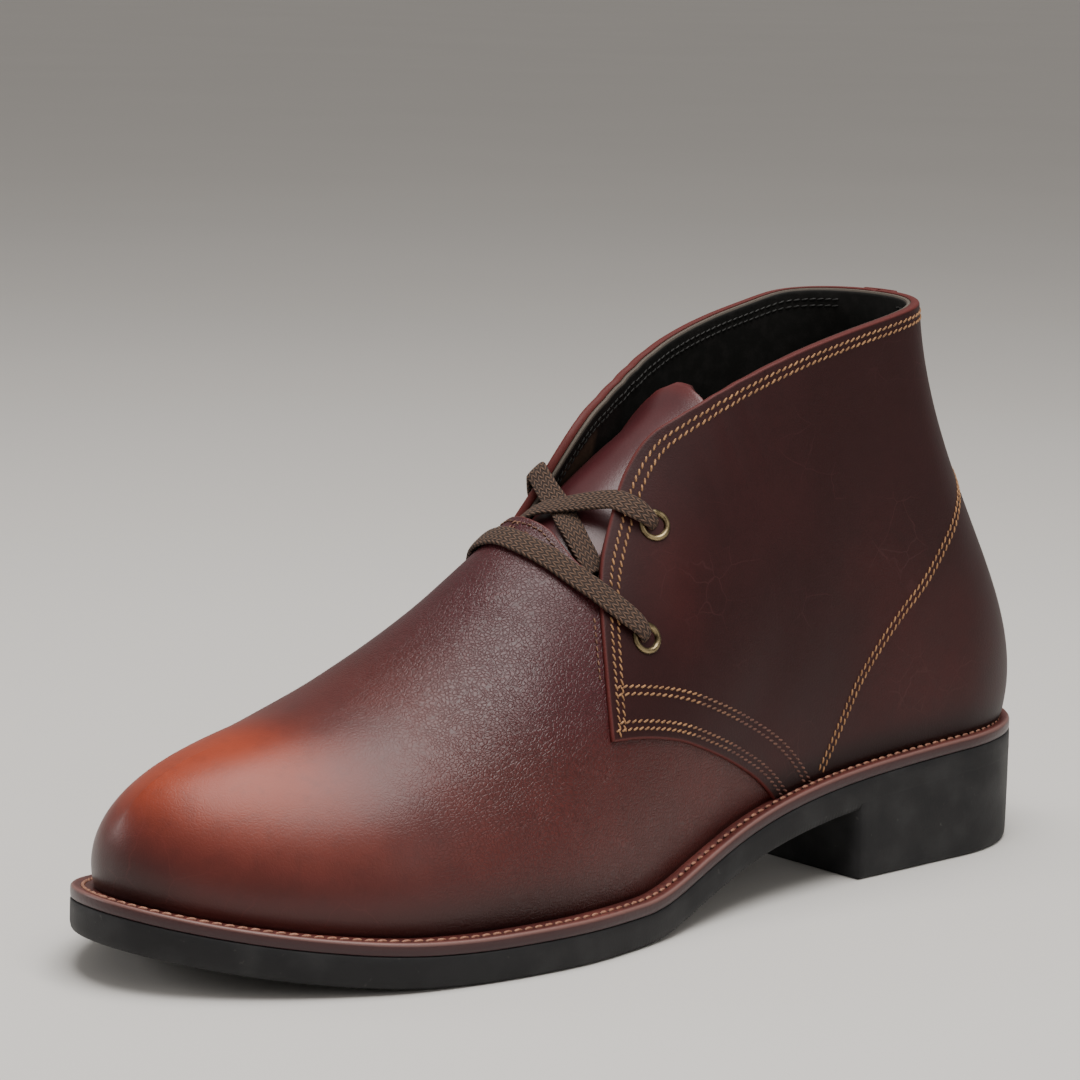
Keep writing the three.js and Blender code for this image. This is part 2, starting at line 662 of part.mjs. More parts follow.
// The tongue's blade, curved across, its outer side raised by a distance.
function tongueBlade(raised) {
  const columns = TONGUE_COLUMNS;
  const runs = TONGUE.length;
  const skinPoint = (row, column, under) => {
    const { along, height, half, drop } = TONGUE[row];
    const across = (2 * column) / columns - 1;
    const x = HEEL_X - along * SOLE_LENGTH;
    const lower = TONGUE[Math.max(row - 1, 0)];
    const upper = TONGUE[Math.min(row + 1, runs - 1)];
    const run = (lower.along - upper.along) * SOLE_LENGTH;
    const rise = (upper.height - lower.height) * INSTEP_HEIGHT;
    const slope = Math.hypot(run, rise);
    const y = across * half * TONGUE_WIDTH;
    const z = height * INSTEP_HEIGHT - across * across * drop * TONGUE_WIDTH;
    const depth = under ? TONGUE_THICKNESS : -raised;
    return new THREE.Vector3(x + (depth * rise) / slope, y, z - (depth * run) / slope);
  };
  const points = [];
  [false, true].forEach((under) => {
    for (let row = 0; row < runs; row += 1) {
      for (let column = 0; column <= columns; column += 1) points.push(skinPoint(row, column, under));
    }
  });
  const id = (row, column, under) => (under ? runs * (columns + 1) : 0) + row * (columns + 1) + column;
  const faces = [];
  const quad = (a, b, c, d) => faces.push([a, b, c], [a, c, d]);
  for (let row = 0; row < runs - 1; row += 1) {
    for (let column = 0; column < columns; column += 1) {
      const [near, next] = [[row, column], [row, column + 1]];
      const [far, farNext] = [[row + 1, column], [row + 1, column + 1]];
      quad(id(...near), id(...far), id(...farNext), id(...next));
      quad(id(...near, true), id(...next, true), id(...farNext, true), id(...far, true));
    }
    quad(id(row, 0), id(row, 0, true), id(row + 1, 0, true), id(row + 1, 0));
    quad(id(row, columns), id(row + 1, columns), id(row + 1, columns, true), id(row, columns, true));
  }
  for (let column = 0; column < columns; column += 1) {
    quad(id(0, column), id(0, column + 1), id(0, column + 1, true), id(0, column, true));
    const last = runs - 1;
    quad(id(last, column), id(last, column, true), id(last, column + 1, true), id(last, column + 1));
  }
  return solid(bodyFrom(points, faces));
}

// The tongue, kept inside the quarters and the vamp.
const tongueSolid = () => tongueBlade(0).intersect(form(-(WALL + CLEARANCE), WALL + WELT_THICKNESS));

// Eyelet: a rolled rim outside the leather and a barrel through it.
function eyeletGeometry() {
  const [bore, barrel, rim] = [EYELET_BORE / 2, EYELET_BARREL / 2, EYELET_DIAMETER / 2];
  const seat = OVERLAY + 2 * CLEARANCE;
  const profile = [
    [bore, -WALL],
    [barrel, -WALL],
    [barrel, seat],
    [rim, seat],
    [rim, seat + 0.5 * EYELET_RIM],
    [(rim + barrel) / 2, seat + EYELET_RIM],
    [bore, seat + 0.7 * EYELET_RIM],
    [bore, -WALL],
  ];
  return new THREE.LatheGeometry(profile.map(([r, h]) => new THREE.Vector2(r, h)), EYELET_SIDES);
}

// A layer that lies over the upper, as thick as the lace.
function laceLayer() {
  const under = OVERLAY + CLEARANCE;
  return form(under + LACE_THICKNESS).subtract(form(under, WELT_THICKNESS));
}

// The straight lace bar over the vamp's tab, between the lower eyelets.
function laceBarSolid() {
  const [lower] = EYELETS;
  const start = { x: HEEL_X - lower.along * SOLE_LENGTH, z: lower.height * INSTEP_HEIGHT };
  const ridge = { x: HEEL_X - LACE_BAR_RIDGE.along * SOLE_LENGTH, z: LACE_BAR_RIDGE.height * INSTEP_HEIGHT };
  const length = Math.hypot(ridge.x - start.x, ridge.z - start.z);
  const [ux, uz] = [(ridge.x - start.x) / length, (ridge.z - start.z) / length];
  const gap = EYELET_DIAMETER / 2 + EYELET_RIM + CLEARANCE;
  const corner = (run, off) => ({
    x: start.x + ux * run - uz * off * LACE_WIDTH,
    z: start.z + uz * run + ux * off * LACE_WIDTH,
  });
  const far = 3 * length;
  const band = sideBlock([corner(gap, -0.5), corner(far, -0.5), corner(far, 0.5), corner(gap, 0.5)]);
  return laceLayer().intersect(band);
}

// Direction in which the flat side of a lace faces on the instep.
function awayFromInstep(point) {
  const start = new THREE.Vector3(HEEL_X - LACE_AXIS.along * SOLE_LENGTH, 0, LACE_AXIS.height * INSTEP_HEIGHT);
  const angle = THREE.MathUtils.degToRad(LACE_AXIS.rise);
  const axis = new THREE.Vector3(Math.cos(angle), 0, Math.sin(angle));
  const away = point.clone().sub(start);
  return away.addScaledVector(axis, -away.dot(axis)).normalize();
}

// A flat lace through the places of a table.
function laceRibbon(rows, side) {
  const places = rows.map(({ along, across, height }) => new THREE.Vector3(
    HEEL_X - along * SOLE_LENGTH,
    side * across * COLLAR_WIDTH,
    height * INSTEP_HEIGHT,
  ));
  const path = new THREE.CatmullRomCurve3(places, false, 'centripetal');
  const corners = [[-1, -1], [1, -1], [1, 1], [-1, 1]];
  const points = [];
  for (let i = 0; i <= LACE_STEPS; i += 1) {
    const centre = path.getPointAt(i / LACE_STEPS);
    const run = path.getTangentAt(i / LACE_STEPS);
    const out = awayFromInstep(centre);
    out.addScaledVector(run, -out.dot(run)).normalize();
    const over = out.clone().cross(run);
    corners.forEach(([u, v]) => points.push(centre.clone()
      .addScaledVector(over, (u * LACE_WIDTH) / 2)
      .addScaledVector(out, (v * LACE_THICKNESS) / 2)));
  }
  const faces = [[0, 3, 2], [0, 2, 1]];
  const sides = corners.length;
  for (let i = 0; i < LACE_STEPS; i += 1) {
    for (let k = 0; k < sides; k += 1) {
      const [a, b] = [i * sides + k, i * sides + ((k + 1) % sides)];
      faces.push([a, b, b + sides], [a, b + sides, a + sides]);
    }
  }
  const last = LACE_STEPS * sides;
  faces.push([last, last + 1, last + 2], [last, last + 2, last + 3]);
  return solid({ points, triangles: faces });
}

// The laces' crossing over the tongue, clear of the tongue, the tab and the quarters.
function laceCrossSolid() {
  const both = laceRibbon(LACE_OVER, -1).add(laceRibbon(LACE_UNDER, 1));
  const tab = form(CLEARANCE).subtract(openingBlock(CLEARANCE));
  const quarters = form(OVERLAY + CLEARANCE).intersect(quarterBlock(CLEARANCE));
  const parts = both.subtract(tab).subtract(quarters).subtract(tongueBlade(CLEARANCE)).decompose();
  return parts.sort((a, b) => b.volume() - a.volume())[0];
}

// Names, colours and finishes
const LEATHER = { color: 0x4a1f16, roughness: 0.5, metalness: 0 };
const RUBBER = { color: 0x17151a, roughness: 0.75, metalness: 0 };
const WELT_LEATHER = { color: 0x5b2a20, roughness: 0.55, metalness: 0 };
const LINING = { color: 0x2a1d18, roughness: 0.9, metalness: 0 };
const BRAID = { color: 0x4b3a2e, roughness: 0.95, metalness: 0 };
const BRASS = { color: 0x8c7447, roughness: 0.35, metalness: 1 };

const boot = new THREE.Group();

function addMesh(name, geometry, finish) {
  const mesh = new THREE.Mesh(geometry, new THREE.MeshStandardMaterial(finish));
  mesh.name = name;
  boot.add(mesh);
  return mesh;
}

function addSolid(name, body, finish) {
  const { vertProperties, triVerts } = body.getMesh();
  const geometry = new THREE.BufferGeometry();
  geometry.setAttribute('position', new THREE.BufferAttribute(vertProperties, 3));
  geometry.setIndex(new THREE.BufferAttribute(triVerts, 1));
  return addMesh(name, geometry, finish);
}

addSolid('outsole', outsoleSolid(), RUBBER);
addSolid('welt', weltSolid(), WELT_LEATHER);
addSolid('insole', insoleSolid(), LINING);
addSolid('upper', upperSolid(), LEATHER);
addSolid('tongue', tongueSolid(), LEATHER);
addSolid('lace_bar', laceBarSolid(), BRAID);
addSolid('lace_cross', laceCrossSolid(), BRAID);
eyeletPlaces.forEach(({ name, point, normal }) => {
  const eyelet = addMesh(name, eyeletGeometry(), BRASS);
  eyelet.position.copy(point);
  eyelet.quaternion.copy(turnedTo(normal));
});

export default boot;
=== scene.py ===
# %% [markdown]
# # A left chukka boot
# A chukka is an ankle boot of few pieces: a vamp over the front of the foot, two quarters
# round the heel, a tongue, and a lace through two pairs of eyelets. A leather welt is sewn
# round the foot, and a rubber sole and heel hang under it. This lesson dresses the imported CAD
# frame: every leather panel is cut from one smooth form, as a shoemaker cuts them over a last.

# %% Load the frame
import json
import math
import bmesh
import bpy
import numpy as np
from mathutils import Matrix

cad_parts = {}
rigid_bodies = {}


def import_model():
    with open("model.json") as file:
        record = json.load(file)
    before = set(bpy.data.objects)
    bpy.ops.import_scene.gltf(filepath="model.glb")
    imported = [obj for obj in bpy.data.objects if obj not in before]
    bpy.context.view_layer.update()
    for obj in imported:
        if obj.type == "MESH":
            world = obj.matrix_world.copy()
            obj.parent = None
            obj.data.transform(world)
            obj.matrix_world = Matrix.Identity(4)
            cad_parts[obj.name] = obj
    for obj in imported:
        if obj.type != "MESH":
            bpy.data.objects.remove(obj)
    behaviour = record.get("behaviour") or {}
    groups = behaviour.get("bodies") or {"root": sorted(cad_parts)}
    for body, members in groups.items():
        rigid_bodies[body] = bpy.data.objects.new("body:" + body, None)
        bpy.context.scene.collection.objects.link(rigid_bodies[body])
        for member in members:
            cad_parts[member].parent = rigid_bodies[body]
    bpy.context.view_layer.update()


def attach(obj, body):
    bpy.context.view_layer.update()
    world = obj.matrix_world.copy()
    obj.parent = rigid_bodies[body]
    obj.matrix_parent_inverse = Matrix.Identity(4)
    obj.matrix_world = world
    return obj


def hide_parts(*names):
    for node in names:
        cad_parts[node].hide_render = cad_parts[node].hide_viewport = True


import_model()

MM = 0.001


def new_object(name, data):
    made = bpy.data.objects.new(name, data)
    bpy.context.collection.objects.link(made)
    return made


def stand(holder, right, up, back, place):
    """Turns a camera or a lamp to three axes, at a place in metres."""
    placed = np.eye(4)
    placed[:3] = np.stack([right, up, back, place], axis=1)
    holder.matrix_world = Matrix(placed.tolist())


# %% [markdown]
# ## The camera
# The photograph looks down a little on the outer side of the boot from its front quarter.
# The camera comes first.
# Its three axes are built from a turn, a tilt and a small roll, which says more than angles
# copied from a viewport.

# %% Camera at the photograph's angle
TURN, TILT, ROLL = (math.radians(v) for v in (41.03, 9.62, 1.06))
AIM = np.array([-16.0, 0.0, 97.8]) * MM
DISTANCE = 999 * MM
SENSOR, LENS = 36, 127.5
level_right = np.array([math.cos(TURN), -math.sin(TURN), 0])
back = np.array([-math.sin(TURN) * math.cos(TILT), -math.cos(TURN) * math.cos(TILT), math.sin(TILT)])
level_up = np.cross(back, level_right)
right = level_right * math.cos(ROLL) + level_up * math.sin(ROLL)
up = level_up * math.cos(ROLL) - level_right * math.sin(ROLL)
photo_camera = new_object("photo_camera", bpy.data.cameras.new("photo_camera"))
stand(photo_camera, right, up, back, AIM + back * DISTANCE)
photo_camera.data.sensor_width, photo_camera.data.lens = SENSOR, LENS
bpy.context.scene.camera = photo_camera
print("camera at", [round(v, 4) for v in photo_camera.location])

# %% [markdown]
# ## Named sizes
# These are the sizes that the CAD model is built from, in millimetres. Tables hold shares of
# them, so that one size can change and the rest of the boot follows.

# %% Sizes of the boot
SOLE_LENGTH = 305
BALL_WIDTH = 107
HEEL_HEIGHT = 19.6
HEEL_LENGTH = 82
OUTSOLE_THICKNESS = 8.4
WELT_THICKNESS = 3.1
TOE_SPRING = 11
TOE_SPRING_RUN = 0.269 * SOLE_LENGTH
BALL_FLAT_END = -0.072 * SOLE_LENGTH
WELT_EXTENSION = 6
COLLAR_HEIGHT = 156
COLLAR_WIDTH = 57
COLLAR_SETBACK = 46
LAST_HEIGHT = 168
INSTEP_HEIGHT = 104.5
WALL = 2.6
OVERLAY = 1.2
INSOLE_THICKNESS = 3
CLEARANCE = 0.3
HEEL_X, TOE_X = SOLE_LENGTH / 2, -SOLE_LENGTH / 2
BREAST_X = HEEL_X - HEEL_LENGTH
print("heel at", HEEL_X, "mm, toe at", TOE_X, "mm")

# %% [markdown]
# ## Smooth tables
# A last is drawn from a few measured stations joined by fair curves. `smooth_table` passes a
# cubic through its rows, and `side_line` does the same for a line drawn on the side view,
# from shares of the sole's length and of a height.

# %% Curves through tables
def smooth_table(keys, values):
    keys, values = np.asarray(keys, float), np.asarray(values, float)
    before = np.maximum(np.arange(len(keys)) - 1, 0)
    after = np.minimum(np.arange(len(keys)) + 1, len(keys) - 1)
    slopes = (values[after] - values[before]) / (keys[after] - keys[before])

    def value(at):
        i = np.clip(np.searchsorted(keys, at, side="left") - 1, 0, len(keys) - 2)
        step = keys[i + 1] - keys[i]
        t = np.clip((at - keys[i]) / step, 0, 1)
        start = values[i] * (1 + 2 * t) * (1 - t) ** 2 + slopes[i] * step * t * (1 - t) ** 2
        return start + values[i + 1] * t * t * (3 - 2 * t) - slopes[i + 1] * step * t * t * (1 - t)
    return value


def column_tables(rows):
    """A smooth table for each column of rows after their first, which is the key."""
    keys, *columns = zip(*rows)
    return [smooth_table(keys, column) for column in columns]


def run_along(points):
    """Distance walked from the first point to each of them."""
    return np.concatenate([[0], np.cumsum(np.linalg.norm(np.diff(points, axis=0), axis=1))])


def side_line(rows, height_unit):
    rows = np.array([(HEEL_X - along * SOLE_LENGTH, height * height_unit) for along, height in rows])
    run = run_along(rows)
    tables = [smooth_table(run, column) for column in rows.T]
    return lambda share: np.stack([table(np.asarray(share) * run[-1]) for table in tables], -1)


def smoothstep(value, start, end):
    t = np.clip((value - start) / (end - start), 0, 1)
    return t * t * (3 - 2 * t)


def unit(vectors):
    return vectors / np.maximum(np.linalg.norm(vectors, axis=-1, keepdims=True), 1e-12)


print("half way up a smooth step:", float(smoothstep(0.5, 0, 1)))

# %% [markdown]
# ## The outline of the sole
# Seen from below, a left sole is widest at the ball, on the outer side, and narrow at the
# waist on the inner side. The outline gives both half widths along the sole, and both ends
# are closed by a rounded cap. Seen from the side, the bottom rises at the toe, lies flat
# under the ball, and arches up to the heel seat.

# %% Sole outline and heights
# along, lateral and medial half width, as shares of the ball width
OUTLINE = [(0.0, 0.325, 0.318), (0.1, 0.325, 0.318), (0.2, 0.332, 0.313), (0.3, 0.341, 0.285),
           (0.4, 0.369, 0.266), (0.48, 0.413, 0.285), (0.56, 0.47, 0.346), (0.64, 0.505, 0.425),
           (0.72, 0.495, 0.487), (0.8, 0.452, 0.504), (0.88, 0.385, 0.486), (1.0, 0.3, 0.43)]
lateral_half, medial_half = column_tables(OUTLINE)


def rounded_end(share, round_share, power):
    return (1 - np.clip(1 - share / round_share, 0, 1) ** power) ** (1 / power)


def along_at(at):
    return (1 - np.cos(np.pi * at)) / 2


def sole_edge(side, at):
    along = along_at(at)
    lateral, medial = lateral_half(along) * BALL_WIDTH, medial_half(along) * BALL_WIDTH
    ends = rounded_end(along, 0.13, 2.1) * rounded_end(1 - along, 0.21, 2.1)
    y = (medial - lateral) / 2 + side * (medial + lateral) / 2 * ends
    return np.stack([HEEL_X - along * SOLE_LENGTH, y, 0 * y], -1)


def edge_outward(side, at):
    run = sole_edge(side, np.minimum(at + 1e-3, 1)) - sole_edge(side, np.maximum(at - 1e-3, 0))
    out = unit(np.stack([-run[..., 1], run[..., 0], 0 * run[..., 0]], -1)) * -side
    out = np.where((at < 1e-6)[..., None], [1.0, 0, 0], out)
    return np.where((at > 1 - 1e-6)[..., None], [-1.0, 0, 0], out)


def inset_edge(side, at, inset):
    return sole_edge(side, at) - edge_outward(side, at) * np.broadcast_to(inset, at.shape)[..., None]


def sole_bottom(x):
    spring = np.clip(TOE_X + TOE_SPRING_RUN - x, 0, None) / TOE_SPRING_RUN
    arch = (np.clip(x - BALL_FLAT_END, 0, None) / (BREAST_X - BALL_FLAT_END)) ** 2
    return TOE_SPRING * spring ** 2 + HEEL_HEIGHT * 1.3 * arch / (0.3 + arch)


def outsole_top(x):
    return sole_bottom(x) + OUTSOLE_THICKNESS


def welt_top(x):
    return outsole_top(x) + CLEARANCE + WELT_THICKNESS


ball_width = sole_edge(1, np.array(0.55))[1] - sole_edge(-1, np.array(0.55))[1]
print("sole is", round(float(ball_width), 1), "mm wide at the ball")

# %% [markdown]
# ## The last
# The last is the foot-shaped form that an upper is pulled over. Here each section is one
# curve from the welt up to the top line or the ridge of the instep: it leaves the welt with
# a slight outward lean, and arrives either straight down from the collar or square across
# the ridge. Neighbouring sections are averaged, which fairs the form as a rasp would.

# %% Sections of the last
FRONT_LINE = side_line([(0.405, 1.608), (0.444, 1.445), (0.482, 1.285), (0.51, 1.165), (0.532, 1.1), (0.55, 1.045),
                        (0.58, 0.985), (0.608, 0.924), (0.651, 0.822), (0.697, 0.73), (0.746, 0.651),
                        (0.795, 0.595), (0.844, 0.559), (0.893, 0.526)], INSTEP_HEIGHT)
TOP_HALF = smooth_table([0, 0.2, 0.45, 0.7, 1], [0.43, 0.47, 0.455, 0.43, 0.42])
# at, share of the welt extension, lean in degrees, and how far the curve holds its direction
# at its lower and upper end, as shares of the height between them
SECTIONS = [(0.0, 0.66, 16, 0.28, 0.4), (0.1, 0.66, 15, 0.28, 0.4), (0.2, 0.72, 12, 0.29, 0.38),
            (0.3, 0.8, 9, 0.31, 0.3), (0.38, 0.87, 8, 0.33, 0.23), (0.44, 0.93, 9, 0.34, 0.19),
            (0.5, 0.97, 11, 0.36, 0.168), (0.56, 1.0, 14, 0.37, 0.178), (0.62, 1.0, 17, 0.38, 0.225),
            (0.7, 1.0, 19, 0.38, 0.275), (0.8, 1.0, 18, 0.36, 0.32), (0.9, 1.0, 15, 0.38, 0.385),
            (1.0, 1.0, 10, 0.45, 0.45)]
extension_at, lean_at, low_at, high_at = column_tables(SECTIONS)
FRONT_START = 0.4


def top_share(at):
    return (1 - np.cos(np.pi * np.minimum(at / FRONT_START, 1) ** 1.9)) / 2


def section_top(side, at):
    """Upper end of a section: round the last's level top, then down the front line."""
    front_share = 1 - (1 - np.clip((at - FRONT_START) / (1 - FRONT_START), 0, 1)) ** 1.9
    line = FRONT_LINE(front_share)
    ridge = np.stack([line[..., 0], 0.04 * BALL_WIDTH * smoothstep(-line[..., 0], 20, 110), line[..., 1]], -1)
    share = top_share(at)
    front = FRONT_LINE(0.0)
    ends = rounded_end(share, 0.22, 2.2) * rounded_end(1 - share, 0.3, 2)
    start_x = HEEL_X - COLLAR_SETBACK
    loop = np.stack([start_x + (front[0] - start_x) * share, side * TOP_HALF(share) * COLLAR_WIDTH * ends,
                     LAST_HEIGHT + (front[1] - LAST_HEIGHT) * share], -1)
    return np.where((at >= FRONT_START)[..., None], ridge, loop)


def top_leaving(side, at):
    """Direction in which a section leaves its upper end."""
    ahead = np.minimum(np.maximum(at, FRONT_START) + 2e-3, 1)
    forwards = unit(section_top(side, ahead) - section_top(side, ahead - 2e-3))
    share = top_share(at)[..., None]
    fallen = unit(np.array([0, 0, -1.0]) * (1 - share) + forwards * share)
    angle = (smoothstep(at, 0.33, 0.47) * (1 - smoothstep(at, 0.8, 1)) * np.pi / 2)[..., None]
    return unit(fallen * np.cos(angle) + np.array([0, side, 0]) * np.sin(angle))


def section_point(side, at, rise):
    bottom = inset_edge(side, at, WELT_EXTENSION * extension_at(at))
    bottom[..., 2] = welt_top(bottom[..., 0]) + CLEARANCE
    top = section_top(side, at)
    span = np.linalg.norm(top - bottom, axis=-1)
    lean = np.radians(lean_at(at))
    leaving = edge_outward(side, at) * np.sin(lean)[..., None]
    leaving[..., 2] = np.cos(lean)
    low = bottom + leaving * (span * low_at(at))[..., None]
    high = top + top_leaving(side, at) * (span * high_at(at))[..., None]
    t = rise[..., None]
    return (1 - t) ** 3 * bottom + 3 * (1 - t) ** 2 * t * low + 3 * (1 - t) * t * t * high + t ** 3 * top


def last_point(side, at, rise):
    at, rise = np.broadcast_arrays(np.asarray(at, float), np.asarray(rise, float))
    reach = 0.03 * smoothstep(at, 0.16, 0.3) * (1 - smoothstep(at, 0.5, 0.66)) * smoothstep(rise, 0, 0.35)
    weights = np.array([1, 6, 15, 20, 15, 6, 1]) / 64
    return sum(w * section_point(side, at + (k - 3) * reach, rise) for k, w in enumerate(weights))


print("instep at mid section:", last_point(-1, 0.5, 0.5).round(1))

# %% [markdown]
# ## The skin
# All panels are cut from one fine net over the last. Each knot of the net keeps its place,
# its outward direction and its address (station and rise), so that a panel can be lifted off
# the last by the thickness of leather under it.

# %% A fine net over the last
STATIONS, RISES = 276, 80


def net_faces(columns, rows):
    """Triangles between neighbouring knots of a net stored column by column."""
    first = (np.arange(columns - 1)[:, None] * rows + np.arange(rows - 1)[None]).ravel()
    a, b, c, d = first, first + rows, first + rows + 1, first + 1
    return np.concatenate([np.stack([a, b, c], 1), np.stack([a, c, d], 1)])


def knot_normals(points, faces):
    """Outward direction at each knot; knots that share a place share their direction."""
    _, shared = np.unique(points.round(3), axis=0, return_inverse=True)
    shared = shared.ravel()
    corners = points[faces]
    facing = np.cross(corners[:, 1] - corners[:, 0], corners[:, 2] - corners[:, 0])
    total = np.zeros((shared.max() + 1, 3))
    for k in range(3):
        np.add.at(total, shared[faces[:, k]], facing)
    return unit(total[shared])


sides = np.concatenate([np.full(STATIONS, -1), np.full(STATIONS + 1, 1)])
stations = np.concatenate([np.linspace(1, 0, STATIONS, endpoint=False), np.linspace(0, 1, STATIONS + 1)])
rises = np.linspace(0, 1, RISES)
net = np.concatenate([last_point(-1, stations[:STATIONS, None], rises[None]),
                      last_point(1, stations[STATIONS:, None], rises[None])]).reshape(-1, 3)
net_triangles = net_faces(len(sides), RISES)
net_outward = knot_normals(net, net_triangles)
if (net_outward[:, 1] * np.repeat(sides, RISES)).sum() < 0:
    net_triangles = net_triangles[:, ::-1]
    net_outward = -net_outward
# columns: place (3), outward (3), side, station, rise
skin = np.column_stack([net, net_outward, np.repeat(sides, RISES), np.repeat(stations, RISES),
                        np.tile(rises, len(sides))])
print("net of", len(skin), "knots")

# %% [markdown]
# ## Cutting leather
# A panel's pattern is drawn on the side view. `pattern_distance` measures how far a knot is
# inside it. `cut_along` splits the net's triangles exactly on a line of equal distance, which
# gives a clean edge and room for rounding it, however the pattern runs.

# %% Knives
def pattern_distance(outline, x, z):
    """Distance to a closed side view outline, positive inside it."""
    outline = np.asarray(outline, float)
    nearest = np.full(x.shape, 1e9)
    inside = np.zeros(x.shape, bool)
    for (x0, z0), (x1, z1) in zip(outline, np.roll(outline, -1, axis=0)):
        run = np.array([x1 - x0, z1 - z0])
        share = np.clip(((x - x0) * run[0] + (z - z0) * run[1]) / max(run @ run, 1e-12), 0, 1)
        nearest = np.minimum(nearest, np.hypot(x - x0 - share * run[0], z - z0 - share * run[1]))
        if z0 != z1:
            inside ^= ((z0 > z) != (z1 > z)) & (x < (x1 - x0) * (z - z0) / (z1 - z0) + x0)
    return np.where(inside, nearest, -nearest)


def cut_along(knots, faces, value):
    """Splits the triangles where value changes sign and adds knots on that line."""
    positive = value > 0
    count = positive[faces].sum(1)
    mixed = (count == 1) | (count == 2)
    cut = faces[mixed]
    alone = np.argmax(positive[cut] == (count[mixed] == 1)[:, None], axis=1)
    a, b, c = np.take_along_axis(cut, (alone[:, None] + np.arange(3)) % 3, 1).T
    pairs = np.sort(np.concatenate([np.stack([a, b], 1), np.stack([a, c], 1)]), axis=1)
    pairs, where = np.unique(pairs, axis=0, return_inverse=True)
    share = (value[pairs[:, 0]] / (value[pairs[:, 0]] - value[pairs[:, 1]]))[:, None]
    added = knots[pairs[:, 0]] * (1 - share) + knots[pairs[:, 1]] * share
    p, q = (where.ravel() + len(knots)).reshape(2, -1)
    pieces = [faces[~mixed], np.stack([a, p, q], 1), np.stack([p, b, c], 1), np.stack([p, c, q], 1)]
    return np.concatenate([knots, added]), np.concatenate(pieces)


def keep_faces(knots, faces):
    """Only the knots that some triangle has."""
    used, index = np.unique(faces, return_inverse=True)
    return knots[used], index.reshape(-1, 3)


def rim_edges(faces):
    """Directed edges that only one triangle has."""
    edges = np.concatenate([faces[:, [0, 1]], faces[:, [1, 2]], faces[:, [2, 0]]])
    code = edges.max() + 1
    forward = edges[:, 0] * code + edges[:, 1]
    return edges[~np.isin(forward, edges[:, 1] * code + edges[:, 0])]


print("knives ready")

# %% [markdown]
# ## From points to a piece
# Every finished piece is a mesh with its place in its vertices, smooth shaded, riding on the
# boot's one body, and it takes the place of the CAD node that it stands for, which is hidden.

# %% Making a piece
def dress(name, mesh, node):
    """Shows a mesh as a piece of the boot, in the place of a CAD node."""
    piece = new_object(name, mesh)
    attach(piece, "root")
    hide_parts(node)
    print(name, len(mesh.vertices), "points,", len(mesh.polygons), "faces")


def marked_mesh(name, points, faces, marks):
    """A smooth mesh from places in mm, with a number for each mark at its points."""
    mesh = bpy.data.meshes.new(name)
    mesh.from_pydata((np.asarray(points) * MM).tolist(), [], [list(map(int, face)) for face in faces])
    mesh.polygons.foreach_set("use_smooth", [True] * len(mesh.polygons))
    for mark, values in marks.items():
        mesh.attributes.new(mark, "FLOAT", "POINT").data.foreach_set("value", np.asarray(values, float))
    return mesh


def mesh_piece(name, points, faces, material, node, marks=None, face_outwards=False):
    mesh = marked_mesh(name, points, faces, marks or {})
    mesh.materials.append(material)
    joined = bmesh.new()
    joined.from_mesh(mesh)
    bmesh.ops.remove_doubles(joined, verts=joined.verts, dist=2e-6)
    if face_outwards:
        bmesh.ops.recalc_face_normals(joined, faces=joined.faces)
    joined.to_mesh(mesh)
    joined.free()
    mesh.validate()
    dress(name, mesh, node)


def ring_walls(rings, count, closed=False):
    """Quads between rings of count points; closed joins the last ring to the first."""
    quads = []
    for row in range(rings if closed else rings - 1):
        low, high = row * count, (row + 1) % rings * count
        quads += [(low + i, high + i, high + (i + 1) % count, low + (i + 1) % count) for i in range(count)]
    return quads


def weld(points, faces, decimals=3):
    """Points that share a place become one."""
    _, first, index = np.unique(points[:, :3].round(decimals), axis=0, return_index=True, return_inverse=True)
    faces = index.ravel()[faces]
    proper = (faces[:, 0] != faces[:, 1]) & (faces[:, 1] != faces[:, 2]) & (faces[:, 2] != faces[:, 0])
    return points[first], faces[proper]


def rounded_lift(distance, height, radius):
    """Height of a leather's outer face near its cut edge, which is rounded over."""
    gone = np.clip(1 - distance / radius, 0, 1)
    return height - radius * (1 - np.sqrt(1 - gone ** 2))


def shell(outer, inner, faces):
    """Closes an outer and an inner sheet of the same net into one skin with walls at the rim."""
    rim = rim_edges(faces)
    n = len(outer)
    walls = np.stack([rim[:, 1], rim[:, 0], rim[:, 0] + n, rim[:, 1] + n], 1)
    every = [tuple(face) for face in faces] + [tuple(face) for face in faces[:, ::-1] + n]
    return np.concatenate([outer, inner]), every + [tuple(face) for face in walls]


def cut_panel(measure, rounding, kept_sides=(-1, 1)):
    """Knots and triangles of the skin inside a pattern, split near its edge."""
    chosen = np.isin(skin[:, 6], kept_sides)
    value = measure(skin)
    faces = net_triangles[(value[net_triangles].max(1) > 0) & chosen[net_triangles].all(1)]
    knots, faces = keep_faces(skin, faces)
    for share in (0, 0.08, 0.3, 0.62, 1, 2.2):
        knots, faces = cut_along(knots, faces, measure(knots) - share * rounding)
    return weld(*keep_faces(knots, faces[measure(knots)[faces].mean(1) > 0]))


print("panels can be cut")

# %% [markdown]
# ## Node materials
# Each finish is a small tree of nodes on object coordinates, in metres, with marks that the
# pieces carry at their points. `Finish` only shortens the writing: it adds a node, sets its
# inputs, and links whatever is given to them.

